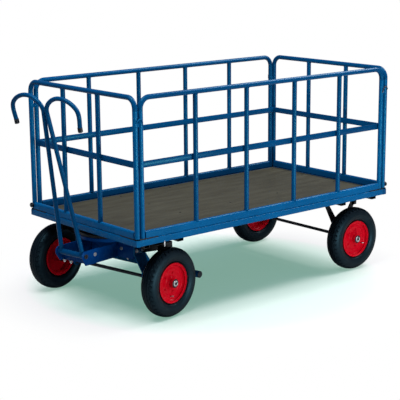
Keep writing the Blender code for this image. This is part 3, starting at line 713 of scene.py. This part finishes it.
def add_wall(kind, where, axis, bays):
    """One wall's top tube, rail and uprights, with the beads that weld them."""
    top, mid = f"{kind}_top_rail_{where}", f"{kind}_mid_rail_{where}"
    uprights = [f"{kind}_upright_{where}_{bay}" for bay in range(1, bays + 1)]
    tubes = bmesh.new()
    path, radius = hoop_path(top, axis)
    add_tube(tubes, path, radius)
    top_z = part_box(top)[1].z - 2 * radius
    low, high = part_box(mid)
    add_block(tubes, low, high, bevel=0.0018)
    for node in uprights:
        foot, head, upright_radius = upright_ends(node)
        head.z = top_z + radius * UPRIGHT_OVERLAP_SHARE
        add_tube(tubes, [foot, head], upright_radius)
        add_weld(tubes, along(foot, head) @ shifted(0, 0, UPRIGHT_WELD_HEIGHT), upright_radius)
        add_weld(tubes, shifted(head.x, head.y, top_z + EDGE_BEVEL), upright_radius)
        add_crossing_welds(tubes, foot, low, high, axis, upright_radius)
    finish_piece(f"{kind}_wall_{where}", tubes, "chassis", WALL_BLUE, "blue_paint", top, mid, *uprights)


def add_crossing_welds(tubes, upright, low, high, axis, radius):
    """Two short upright beads where a tube crosses the mid rail."""
    for sign in (1, -1):
        bead = []
        for z in (low.z + WELD_INSET, high.z - WELD_INSET):
            point = Vector((0, 0, z))
            point[axis] = upright[axis] + sign * radius * CROSSING_WELD_SHARE
            point[1 - axis] = high[1 - axis] if upright[1 - axis] > 0 else low[1 - axis]
            bead.append(point)
        add_tube(tubes, bead, WELD_SIZE, sides=BEAD_SIDES)


def add_walls():
    for side in ("left", "right"):
        add_wall("side", side, 0, 4)
    for end in ("front", "rear"):
        add_wall("end", end, 1, 2)


def corner_points(end, side):
    """Where a corner's two posts stand: the side wall's and the end wall's."""
    x_sign = 1 if end == "front" else -1
    y_sign = 1 if side == "left" else -1
    side_path, radius = hoop_path(f"side_top_rail_{side}", 0)
    end_path, _ = hoop_path(f"end_top_rail_{end}", 1)
    side_post = Vector((x_sign * abs(side_path[0].x), side_path[0].y, 0))
    end_post = Vector((end_path[0].x, y_sign * abs(end_path[0].y), 0))
    return side_post, end_post, radius, x_sign, y_sign


def add_corner(end, side, latches, feet):
    """A corner's two posts on their dark feet, the clip that holds them, and its hook."""
    side_post, end_post, radius, x_sign, y_sign = corner_points(end, side)
    node = f"corner_posts_{end}_{side}"
    low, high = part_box(node)
    posts = bmesh.new()
    sole = FOOT_RADIUS_SHARE * radius
    foot = ((0, 0), (sole, 0), (sole, FOOT_HEIGHT), (0, FOOT_HEIGHT))
    for post in (side_post, end_post):
        ends = [(post.x, post.y, low.z + POST_LIFT), (post.x, post.y, high.z + POST_OVERLAP)]
        add_tube(posts, ends, radius)
        add_turned(feet, foot, DISC_SIDES, shifted(post.x, post.y, low.z))
    middle = (side_post + end_post) / 2 + Vector((0, 0, HOOK_HEIGHT))
    add_block(posts, middle - CLIP_HALF_SIZE, middle + CLIP_HALF_SIZE, bevel=0.0015)
    hook = []
    for on_side_post, back, out, up in HOOK_BENDS:
        post = side_post if on_side_post else end_post
        hook.append((post.x - x_sign * back, end_post.y + y_sign * (radius + out), HOOK_HEIGHT + up))
    add_tube(posts if (end, side) == ("front", "left") else latches, hook, radius=0.0032, sides=10)
    # The far corner's posts take the walls' darker blue as painted shade
    paint = WALL_BLUE if (end, side) == ("rear", "right") else BLUE
    finish_piece(f"corner_posts_dressed_{end}_{side}", posts, "chassis", paint, "blue_paint", node)


def add_corners():
    latches = bmesh.new()
    feet = bmesh.new()
    for end in ("front", "rear"):
        for side in ("left", "right"):
            add_corner(end, side, latches, feet)
    finish_piece("corner_latches", latches, "chassis", STEEL, "bare_steel")
    finish_piece("post_feet", feet, "chassis", PLASTIC, "black_paint")


def rail_outline(bottom):
    """The low rail's section in YZ, with rounded corners."""
    half, bend, steps = RAIL_WIDTH / 2, RAIL_BEND, RAIL_BEND_STEPS
    points = arc((half - bend, bottom + bend), bend, -90, 0, steps)
    points += arc((half - bend, -bend), bend, 0, 90, steps)
    points += arc((-half + bend, -bend), bend, 90, 180, steps)
    points += arc((-half + bend, bottom + bend), bend, 180, 270, steps)
    return points


def kerb_outline(top):
    """The kerb's section in YZ: a rounded top and a folded foot that leaves a groove above the rail."""
    half, bend, steps = KERB_WIDTH / 2, KERB_BEND, KERB_BEND_STEPS
    side = [(half - inset, height) for inset, height in KERB_FOOT]
    points = side + arc((half - bend, top - bend), bend, 0, 90, steps)
    points += arc((-half + bend, top - bend), bend, 90, 180, steps)
    return points + [(-y, z) for y, z in reversed(side)]


def add_rail(node, axis, kerb_half):
    """One edge of the deck: the low rail and the kerb on it."""
    low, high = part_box(node)
    middle = (low + high) / 2
    half = (high[axis] - low[axis]) / 2
    place = Matrix.Translation((middle.x, middle.y, 0)) @ turned_about("Z", 0 if axis == 0 else 90)
    shape = bmesh.new()
    add_section(shape, rail_outline(low.z), half, place)
    add_section(shape, kerb_outline(high.z), kerb_half, place)
    # The far rails get the darker blue as painted shade
    paint = WALL_BLUE if node in PAINTED_SHADE_RAILS else BLUE
    finish_piece(f"{node}_dressed", shape, "chassis", paint, "blue_paint", node)


def add_rails():
    side_post, end_post, radius, _, _ = corner_points("front", "left")
    for side in ("left", "right"):
        add_rail(f"side_rail_{side}", 0, side_post.x - radius - KERB_END_GAP)
    for end in ("front", "rear"):
        add_rail(f"end_rail_{end}", 1, end_post.y - radius - KERB_END_GAP)


def add_corner_shade_strips(shape, x_sign, y_sign, post):
    """Dark strips of painted shade between the kerbs' ends and the rails, along both sides of a corner."""
    half = KERB_WIDTH / 2 + SHADE_STRIP_OVERHANG
    near_x, near_y = post.x - half + SHADE_STRIP_INSET, post.y - half + SHADE_STRIP_INSET
    outer = (x_sign * (post.x + half), y_sign * (post.y + half), SHADE_STRIP_HEIGHTS[1])
    for x, y in ((post.x - SHADE_STRIP_REACH, near_y), (near_x, post.y - SHADE_STRIP_REACH)):
        add_block(shape, (x_sign * x, y_sign * y, SHADE_STRIP_HEIGHTS[0]), outer, FINE_BEVEL)


def add_rail_fittings():
    """Plugs in the kerbs' ends, dark strips of painted shade by the corners, the tie bolts by the corners,
    and the deck's screws.
    """
    plugs = bmesh.new()
    bolts = bmesh.new()
    screws = bmesh.new()
    side_post, end_post, _, _, _ = corner_points("front", "left")
    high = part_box("end_rail_front")[1]
    for sign in (1, -1):
        place = shifted(sign * (high.x - PLUG_INSET), -sign * end_post.y, PLUG_HEIGHT) @ facing(sign, 0)
        add_turned(plugs, PLUG_PROFILE, PLUG_SIDES, place)
        stud_y = sign * (end_post.y + KERB_WIDTH / 2 + STUD_STANDOFF)
        stud = [(side_post.x - STUD_SETBACK, stud_y, z) for z in STUD_HEIGHTS]
        add_tube(bolts, stud, radius=0.0036, sides=12)
        # Painted shade: dark strips in the groove by the corners
        for end_sign in (1, -1):
            add_corner_shade_strips(plugs, end_sign, sign, end_post)
    finish_piece("kerb_plugs_and_shade_strips", plugs, "chassis", PLASTIC, "black_paint")
    board_low, board_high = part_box("deck_board")
    rows = (board_low.y + SCREW_MARGIN, -SCREW_ROW, SCREW_ROW, board_high.y - SCREW_MARGIN)
    for x in SCREW_COLUMNS:
        for y in rows:
            add_turned(screws, SCREW_PROFILE, sides=16, place=shifted(x, y, board_high.z))
    finish_piece("frame_studs", bolts, "chassis", ZINC, "bare_steel")
    finish_piece("deck_screws", screws, "chassis", STEEL, "bare_steel")


def add_cross_members():
    """The black box tubes across the frame, open at their ends."""
    for label in ("front_1", "front_2", "rear_1", "rear_2"):
        node = f"cross_member_{label}"
        low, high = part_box(node)
        shape = bmesh.new()
        wall, mouth = BEAM_WALL, BEAM_MOUTH
        walls = ((low.x, high.z - wall, high.x, high.z), (low.x, low.z, high.x, low.z + wall),
                 (low.x, low.z, low.x + wall, high.z), (high.x - wall, low.z, high.x, high.z))
        add_block(shape, (low.x, low.y + mouth, low.z), (high.x, high.y - mouth, high.z), BEVEL)
        for edge, inner in ((high.y, high.y - mouth - MOUTH_OVERLAP), (low.y, low.y + mouth + MOUTH_OVERLAP)):
            for x, z, far_x, far_z in walls:
                add_block(shape, (x, edge, z), (far_x, inner, far_z), EDGE_BEVEL)
        finish_piece(f"{node}_dressed", shape, "chassis", BLACK, "black_paint", node)


def add_turntable():
    """The upper ring with its bolts."""
    low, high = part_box("turntable_upper_ring")
    centre = (low + high) / 2
    place = shifted(centre.x, centre.y, low.z)
    outer, inner, height, bend = RING_RADIUS, RING_BORE_RADIUS, high.z - low.z, BEVEL
    ring = bmesh.new()
    profile = [(outer - bend, 0), (outer, bend), (outer, height - bend), (outer - bend, height),
               (inner + bend, height), (inner, height - bend), (inner, bend), (inner + bend, 0)]
    add_turned(ring, profile, WHEEL_SIDES, place)
    finish_piece("turntable_ring_dressed", ring, "chassis", BLACK, "black_paint", "turntable_upper_ring")
    bolts = bmesh.new()
    for node in ("cross_member_front_1", "cross_member_front_2"):
        beam_low, beam_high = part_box(node)
        beam_x = (beam_low.x + beam_high.x) / 2
        reach = math.sqrt(((RING_RADIUS + RING_BORE_RADIUS) / 2) ** 2 - (beam_x - centre.x) ** 2)
        for sign in (1, -1):
            add_nut(bolts, shifted(beam_x, sign * (reach - RING_NUT_INSET), beam_high.z), *RING_NUT)
    finish_piece("turntable_bolts", bolts, "chassis", ZINC, "bare_steel")


def add_bolster():
    """The bogie's beam with its lower ring, the drawbar's two cheeks and the stop plate between them."""
    low, high = box_in("bogie_bolster", BOGIE)
    beam_top = high.z - RING_THICKNESS
    half = BOLSTER_LENGTH / 2
    pivot_z = DRAWBAR.translation.z
    reach = high.x - LUG_RADIUS
    shape = bmesh.new()
    add_block(shape, (-half, low.y, low.z), (half, high.y, beam_top), bevel=0.005, place=BOGIE, segments=3)
    edge, foot = high.z - BEVEL, beam_top - BEVEL
    ring = [(RING_RADIUS - BEVEL, high.z), (RING_RADIUS, edge), (RING_RADIUS, foot),
            (RING_BORE_RADIUS, foot), (RING_BORE_RADIUS, edge), (RING_BORE_RADIUS + BEVEL, high.z)]
    add_turned(shape, ring, WHEEL_SIDES, BOGIE)
    outline = [(half - BEVEL, pivot_z + LUG_RADIUS), (half - BEVEL, low.z), (reach, low.z)]
    outline += arc((reach, pivot_z), LUG_RADIUS, -30, 90, LUG_STEPS)
    for sign in (1, -1):
        lug = BOGIE @ shifted(0, sign * LUG_PLACE, 0) @ turned_about("X", 90)
        add_plate(shape, outline, LUG_THICKNESS, lug, bevel=0.0012)
        y = sign * (LUG_PLACE + LUG_THICKNESS / 2)
        bead = [(half, y, low.z + LUG_WELD_START), (half, y, pivot_z + LUG_RADIUS - WELD_INSET)]
        add_tube(shape, bead, radius=0.0025, place=BOGIE, sides=BEAD_SIDES)
    stop_x = reach - STOP_PLATE_SETBACK
    add_block(shape, (stop_x - STOP_PLATE_HALF, -LUG_PLACE, low.z),
              (stop_x + STOP_PLATE_HALF, LUG_PLACE, low.z + STOP_PLATE_HEIGHT), EDGE_BEVEL, BOGIE)
    # The bogie's darker blue is painted shade under the deck
    finish_piece("bogie_bolster_dressed", shape, "bogie", BOGIE_SHADE_BLUE, "blue_paint", "bogie_bolster")


def add_brake():
    """The brake bar with its two arms and their beads, and the plugs in its ends."""
    low, high = box_in("brake_bar", BOGIE)
    bar_x = low.x + BRAKE_BAR_RADIUS
    bar_z = low.z + BRAKE_BAR_RADIUS
    arm_z = high.z - BRAKE_ARM_RADIUS
    shape = bmesh.new()
    ends = [(bar_x, low.y + BAR_END_INSET, bar_z), (bar_x, high.y - BAR_END_INSET, bar_z)]
    add_tube(shape, ends, BRAKE_BAR_RADIUS, BOGIE)
    elbow = (bar_x + high.x) / 2
    bend_z = arm_z - ARM_BEND_START * (arm_z - bar_z) / (elbow - bar_x)
    places = [(bar_x, bar_z), (elbow - ARM_BEND_START, bend_z)]
    places += [(elbow + along_arm, arm_z + up) for along_arm, up in ARM_BENDS] + [(high.x, arm_z)]
    for sign in (1, -1):
        path = [Vector((x, sign * BRAKE_ARM_SPREAD / 2, z)) for x, z in places]
        add_tube(shape, path, BRAKE_ARM_RADIUS, BOGIE, DISC_SIDES)
        for end, towards, reach in ((-1, -2, EDGE_BEVEL), (0, 1, BRAKE_BAR_RADIUS - EDGE_BEVEL)):
            bead = along(path[end], path[towards]) @ shifted(0, 0, reach)
            add_weld(shape, BOGIE @ bead, BRAKE_ARM_RADIUS)
    finish_piece("brake_bar_dressed", shape, "bogie", BLUE, "blue_paint", "brake_bar")
    plugs = bmesh.new()
    for sign in (1, -1):
        place = BOGIE @ shifted(bar_x, sign * (high.y - BAR_PLUG_INSET), bar_z) @ facing(0, sign)
        add_turned(plugs, BAR_PLUG_PROFILE, TUBE_SIDES, place)
    finish_piece("brake_bar_plugs", plugs, "bogie", PLASTIC, "black_paint")


def horn_path(sign):
    """One drawbar tube: up from the sleeve to the neck, then out and down in a horn."""
    knots = DRAWBAR_KNOTS
    after = (knots[-1][0], 2 * knots[-1][1] - knots[-2][1])
    line = [Vector(point) for point in [(DRAWBAR_FOOT_HALF_WIDTH, 0), *knots, after]]
    path = [line[0]]
    for first, second, third, fourth in zip(line, line[1:], line[2:], line[3:]):
        reach = (third - second).length
        leave = (third - first).normalized() * reach
        arrive = (fourth - second).normalized() * reach
        for step in range(HORN_STEPS):
            t = step / HORN_STEPS
            path.append(second * (2 * t ** 3 - 3 * t ** 2 + 1) + leave * (t ** 3 - 2 * t ** 2 + t)
                        + third * (3 * t ** 2 - 2 * t ** 3) + arrive * (t ** 3 - t ** 2))
    path.append(Vector(knots[-1]))
    return [(0, sign * point.x, point.y) for point in path]


def add_drawbar():
    """The two horned tubes, welded to their sleeve and to each other at the neck, with capped tips."""
    shape = bmesh.new()
    caps = bmesh.new()
    across = DRAWBAR @ turned_about("X", 90)
    outer, half, bevel = SLEEVE_RADIUS, SLEEVE_HALF_LENGTH, EDGE_BEVEL
    sleeve = ((outer - bevel, half), (outer, half - bevel), (outer, bevel - half), (outer - bevel, -half),
              (SLEEVE_BORE_RADIUS, -half), (SLEEVE_BORE_RADIUS, half))
    add_turned(shape, sleeve, TUBE_SIDES, across)
    for sign in (1, -1):
        path = horn_path(sign)
        start = [path[0][0], path[0][1], SLEEVE_RADIUS * TUBE_START_SHARE]
        add_tube(shape, [start, *path[1:]], DRAWBAR_TUBE_RADIUS, DRAWBAR)
        foot = DRAWBAR @ along(path[0], path[1]) @ shifted(0, 0, SLEEVE_RADIUS)
        add_weld(shape, foot, DRAWBAR_TUBE_RADIUS, size=0.003)
        reach = (Vector(path[-1]) - Vector(path[-2])).length
        tip = DRAWBAR @ along(path[-2], path[-1]) @ shifted(0, 0, reach)
        add_turned(caps, TIP_CAP_PROFILE, TUBE_SIDES, tip)
        for height in NECK_BEAD_HEIGHTS:
            bead = DRAWBAR @ shifted(sign * NECK_BEAD_OFFSET, 0, height)
            add_turned(shape, NECK_BEAD_PROFILE, BEAD_SIDES, bead)
    finish_piece("drawbar_dressed", shape, "drawbar", WALL_BLUE, "blue_paint", "drawbar")
    finish_piece("drawbar_tip_caps", caps, "drawbar", PLASTIC, "black_paint")


def add_pin():
    """The drawbar's pin with a head at one end and a split pin at the other."""
    low, high = box_in("drawbar_pin", BOGIE)
    centre = (low + high) / 2
    axis = BOGIE @ shifted(*centre) @ turned_about("X", -90)
    half = (high.y - low.y) / 2
    radius = (high.z - low.z) / 2
    face = LUG_PLACE + LUG_THICKNESS / 2
    shape = bmesh.new()
    shank = ((0, -half), (radius - EDGE_BEVEL, -half), (radius, EDGE_BEVEL - half), (radius, half), (0, half))
    add_turned(shape, shank, TUBE_SIDES, axis)
    add_turned(shape, PIN_HEAD_PROFILE, PLUG_SIDES, axis @ shifted(0, 0, face))
    back = -face - PIN_WASHER_THICKNESS
    washer = ((radius, back), (PIN_WASHER_RADIUS, back), (PIN_WASHER_RADIUS, -face), (radius, -face))
    add_turned(shape, washer, PLUG_SIDES, axis)
    split_pin = [(x, 0, PIN_WASHER_THICKNESS - half) for x in SPLIT_PIN_ENDS]
    add_tube(shape, split_pin, radius=0.0014, place=axis, sides=BEAD_SIDES)
    finish_piece("drawbar_pin_dressed", shape, "bogie", STEEL, "bare_steel", "drawbar_pin")


def add_bogie_fittings():
    """Bolts and nuts on the bogie's beam, side plates, cheeks and stop plate."""
    low, high = box_in("bogie_bolster", BOGIE)
    beam_z = (low.z + high.z - RING_THICKNESS) / 2
    bolts = bmesh.new()
    for side, sign in (("left", 1), ("right", -1)):
        plate_low, plate_high = box_in(f"bogie_side_plate_{side}", BOGIE)
        face = (plate_low.y if sign > 0 else plate_high.y) + sign * SIDE_PLATE_THICKNESS
        for x in (-PLATE_BOLT_X, PLATE_BOLT_X):
            for drop in PLATE_BOLT_DROPS:
                add_bolt(bolts, BOGIE @ shifted(x, face, beam_z + drop) @ facing(0, sign))
        nut_x, nut_y = BEAM_NUT_PLACE
        for x in (nut_x, -nut_x):
            add_nut(bolts, BOGIE @ hanging(x, sign * nut_y, low.z))
        beam_bolt = shifted(BOLSTER_LENGTH / 2, sign * (LUG_PLACE + BEAM_BOLT_OFFSET), beam_z)
        add_bolt(bolts, BOGIE @ beam_bolt @ facing(1, 0))
        cheek = shifted(CHEEK_BOLT_X, sign * (LUG_PLACE + LUG_THICKNESS / 2), beam_z)
        add_bolt(bolts, BOGIE @ cheek @ facing(0, sign))
    stop_x = high.x - LUG_RADIUS - STOP_PLATE_SETBACK
    for y in STOP_NUT_PLACES:
        add_nut(bolts, BOGIE @ hanging(stop_x, y, low.z), *STOP_NUT)
    finish_piece("bogie_bolts", bolts, "bogie", ZINC, "bare_steel")


def add_bogie_webs():
    """Two black webs that run out from the beam's ends, above the axle and clear of the tyres, partly painted
    shade over the front tyres.
    """
    high = box_in("bogie_bolster", BOGIE)[1]
    top = high.z - RING_THICKNESS
    rear, front = WEB_SPAN
    reach = box_in("tyre_front_left", BOGIE)[0].y - WEB_CLEARANCE
    shape = bmesh.new()
    for sign in (1, -1):
        inner, outer = sign * (high.y + SIDE_PLATE_THICKNESS), sign * reach
        lip = sign * (reach - WEB_THICKNESS)
        for start, end, foot in ((inner, outer, top - WEB_THICKNESS), (outer, lip, top - WEB_LIP)):
            add_block(shape, (rear, start, foot), (front, end, top), EDGE_BEVEL, BOGIE)
        outline = [(inner, top), (outer, top), (outer, top - WEB_LIP), (inner, top - WEB_DEPTH)]
        web = BOGIE @ shifted(WEB_PLATE_X, 0, 0) @ CROSSWISE
        add_plate(shape, outline[::sign], WEB_THICKNESS, web, FINE_BEVEL)
    # Black, darker than the blue bogie, as painted shade over the front tyres
    finish_piece("bogie_webs", shape, "bogie", BLACK, "black_paint")


def add_collar(shape, start, end, axis):
    """A ring on an axle, with its rim chamfered at the end."""
    edge = end - math.copysign(EDGE_BEVEL, end - start)
    profile = ((AXLE_RADIUS, start), (COLLAR_RADIUS, start), (COLLAR_RADIUS, edge),
               (COLLAR_RADIUS - EDGE_BEVEL, end), (AXLE_RADIUS, end))
    add_turned(shape, profile, TUBE_SIDES, axis)


def add_axle_fittings(end, body, place, plate_y, plate_thickness):
    """Eye bosses on both sides of an axle's carriers, and collars by its wheels."""
    low, high = box_in(f"{end}_axle", place)
    outer, inner = plate_y + plate_thickness / 2, plate_y - plate_thickness / 2
    hub = (high.y - low.y) / 2 - 2 * HUB_HALF_LENGTH - HUB_GAP
    shape = bmesh.new()
    for sign in (1, -1):
        axis = place @ shifted(*((low + high) / 2)) @ facing(0, sign)
        add_collar(shape, outer, outer + COLLAR_LENGTH, axis)
        add_collar(shape, inner - INNER_BOSS_LENGTH, inner, axis)
        add_collar(shape, hub, hub - COLLAR_LENGTH, axis)
    finish_piece(f"{end}_axle_collars", shape, body, BLACK, "black_paint")


def add_rear_fittings():
    """The nuts and lapped feet that hold the rear axle's carriers to the cross members."""
    feet = bmesh.new()
    bolts = bmesh.new()
    for side in ("left", "right"):
        low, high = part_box(f"rear_axle_carrier_{side}")
        middle = (low.y + high.y) / 2
        near, far = (low.x + reach for reach in GUSSET_SPAN)
        add_block(feet, (near, low.y, high.z - GUSSET_DEPTH), (far, high.y, high.z), EDGE_BEVEL)
        sole = high.z - CARRIER_FOOT_THICKNESS
        for node in ("cross_member_rear_1", "cross_member_rear_2"):
            beam_low, beam_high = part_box(node)
            x = (beam_low.x + beam_high.x) / 2
            for sign in (1, -1):
                near, far = (middle + sign * reach for reach in CARRIER_FOOT_SPAN)
                add_block(feet, (x - CARRIER_FOOT_HALF, near, sole),
                          (x + CARRIER_FOOT_HALF, far, high.z), EDGE_BEVEL)
                add_nut(bolts, hanging(x, (near + far) / 2, sole), *CARRIER_NUT)
    finish_piece("rear_carrier_feet", feet, "chassis", BLACK, "black_paint")
    finish_piece("rear_carrier_bolts", bolts, "chassis", ZINC, "bare_steel")


def dress_kept_nodes():
    """The CAD nodes that stay get the same finishes as the pieces around them."""
    finishes = {"deck_board": BOARD, "rear_axle": STEEL, "front_axle": STEEL}
    finishes.update({f"deck_joist_{place}": BLUE for place in ("rear", "middle", "front")})
    for side in ("left", "right"):
        finishes.update({f"rear_axle_carrier_{side}": BLACK, f"bogie_side_plate_{side}": BLUE})
    for node, material in finishes.items():
        for slot in NODES[node].material_slots:
            slot.material = material


def mix_shaders(tree, factor, first, second, output):
    """Two shaders mixed by a node's value, shown on the output's surface."""
    mix = add_node(tree, "MixShader")
    connect(tree, factor, "Value", mix, "Fac")
    connect(tree, first, 0, mix, 1)
    connect(tree, second, 0, mix, 2)
    connect(tree, mix, "Shader", tree.nodes[output], "Surface")


def floor_material():
    """Pale for the camera and greyer for the light it throws back, with a painted glow near the cart that
    lifts and greens its shadow, and plain white around it.
    """
    material, tree, shader = new_material("floor_white")
    set_inputs(shader, {"Roughness": 0.9, "Specular IOR Level": 0.1})
    rays = add_node(tree, "LightPath")
    seen = add_node(tree, "Mix")
    seen.data_type = "RGBA"
    set_inputs(seen, {"A": (*FLOOR_BOUNCE, 1)})
    connect(tree, rays, "Is Camera Ray", seen, "Factor")
    tones = zip((0.3, 0.7), map(grey, FLOOR_TONES))
    add_ramp(tree, noise_node(tree, scale=0.8, detail=3.0), tuple(tones), seen, "B")
    connect(tree, seen, "Result", shader, "Base Color")
    distance = add_node(tree, "VectorMath")
    distance.operation = "DISTANCE"
    set_inputs(distance, {1: (FADE_CENTRE_X, 0, 0)})
    connect(tree, add_node(tree, "TexCoord"), "Object", distance, 0)
    fade = add_node(tree, "MapRange")
    fade.interpolation_type = "SMOOTHSTEP"
    set_inputs(fade, {"From Min": 0.80, "From Max": 1.50, "To Min": FLOOR_GLOW})
    connect(tree, distance, "Value", fade, "Value")
    shown = add_node(tree, "Math")
    shown.operation = "MULTIPLY"
    connect(tree, fade, "Result", shown, 0)
    connect(tree, rays, "Is Camera Ray", shown, 1)
    # Painted light: the camera-only glow, green near the cart, lifts the floor's shadow
    glow = add_node(tree, "Emission")
    tints = ((FLOOR_GLOW, FLOOR_GLOW_TINT), (FLOOR_GLOW + FLOOR_GLOW_SPAN, WHITE))
    add_ramp(tree, fade, tints, glow, "Color", "Result")
    mix_shaders(tree, shown, shader, glow, "Material Output")
    return material


def add_floor():
    """A pale floor that keeps the cart's shadow, lifted and greened by a painted glow, and turns to plain
    white around it.
    """
    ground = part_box("tyre_rear_left")[0].z
    shape = bmesh.new()
    bmesh.ops.create_circle(shape, cap_ends=True, segments=WHEEL_SIDES, radius=40)
    mesh = bpy.data.meshes.new("floor")
    shape.to_mesh(mesh)
    shape.free()
    floor = bpy.data.objects.new("floor", mesh)
    bpy.context.scene.collection.objects.link(floor)
    floor.location.z = ground
    mesh.materials.append(floor_material())


def add_world():
    """Even light from all round, with plain white where the camera looks past the floor."""
    world = bpy.data.worlds.new("studio")
    world.use_nodes = True
    bpy.context.scene.world = world
    tree = world.node_tree
    light = tree.nodes["Background"]
    set_inputs(light, {"Color": (0.50, 0.64, 1.0, 1), "Strength": 0.18})
    white = add_node(tree, "Background", {"Color": (*WHITE, 1), "Strength": 1.0})
    rays = add_node(tree, "LightPath")
    seen = add_node(tree, "Math")
    seen.operation = "MAXIMUM"
    connect(tree, rays, "Is Camera Ray", seen, 0)
    connect(tree, rays, "Is Transmission Ray", seen, 1)
    mix_shaders(tree, seen, light, white, "World Output")


def add_lamp(name, place, aim, size, power):
    data = bpy.data.lights.new(name, "AREA")
    data.shape = "RECTANGLE"
    data.size, data.size_y = size
    data.energy = power
    lamp = bpy.data.objects.new(name, data)
    bpy.context.scene.collection.objects.link(lamp)
    lamp.location = place
    lamp.rotation_euler = (Vector(aim) - Vector(place)).to_track_quat("-Z", "Y").to_euler()


def add_lights():
    for lamp in LAMPS:
        add_lamp(*lamp)


def add_camera():
    azimuth, elevation, roll = CAMERA_AZIMUTH, CAMERA_ELEVATION, CAMERA_ROLL
    level = math.cos(elevation)
    back = Vector((math.sin(azimuth) * level, -math.cos(azimuth) * level, math.sin(elevation)))
    level_right = Vector((math.cos(azimuth), math.sin(azimuth), 0))
    level_up = back.cross(level_right)
    right = math.cos(roll) * level_right + math.sin(roll) * level_up
    up = math.cos(roll) * level_up - math.sin(roll) * level_right
    data = bpy.data.cameras.new("camera")
    data.lens = CAMERA_LENS
    data.clip_end = 200
    camera = bpy.data.objects.new("camera", data)
    bpy.context.scene.collection.objects.link(camera)
    turn = Matrix((right, up, back)).transposed().to_4x4()
    camera.matrix_world = Matrix.Translation(CAMERA_PLACE) @ turn
    bpy.context.scene.camera = camera


def main():
    add_camera()
    for corner in ("front_left", "front_right", "rear_left", "rear_right"):
        add_tyre(corner)
        add_rim(corner)
    add_walls()
    add_corners()
    add_rails()
    add_rail_fittings()
    add_cross_members()
    add_turntable()
    add_bolster()
    add_brake()
    add_drawbar()
    add_pin()
    add_bogie_fittings()
    add_bogie_webs()
    eye_y = box_in("bogie_side_plate_left", BOGIE)[1].y - SIDE_PLATE_THICKNESS / 2
    add_axle_fittings("front", "bogie", BOGIE, eye_y, SIDE_PLATE_THICKNESS)
    add_axle_fittings("rear", "chassis", IDENTITY, CARRIER_SPREAD / 2, CARRIER_THICKNESS)
    add_rear_fittings()
    dress_kept_nodes()
    add_floor()
    add_world()
    add_lights()


bpy.context.scene.view_settings.view_transform = "Standard"
main()
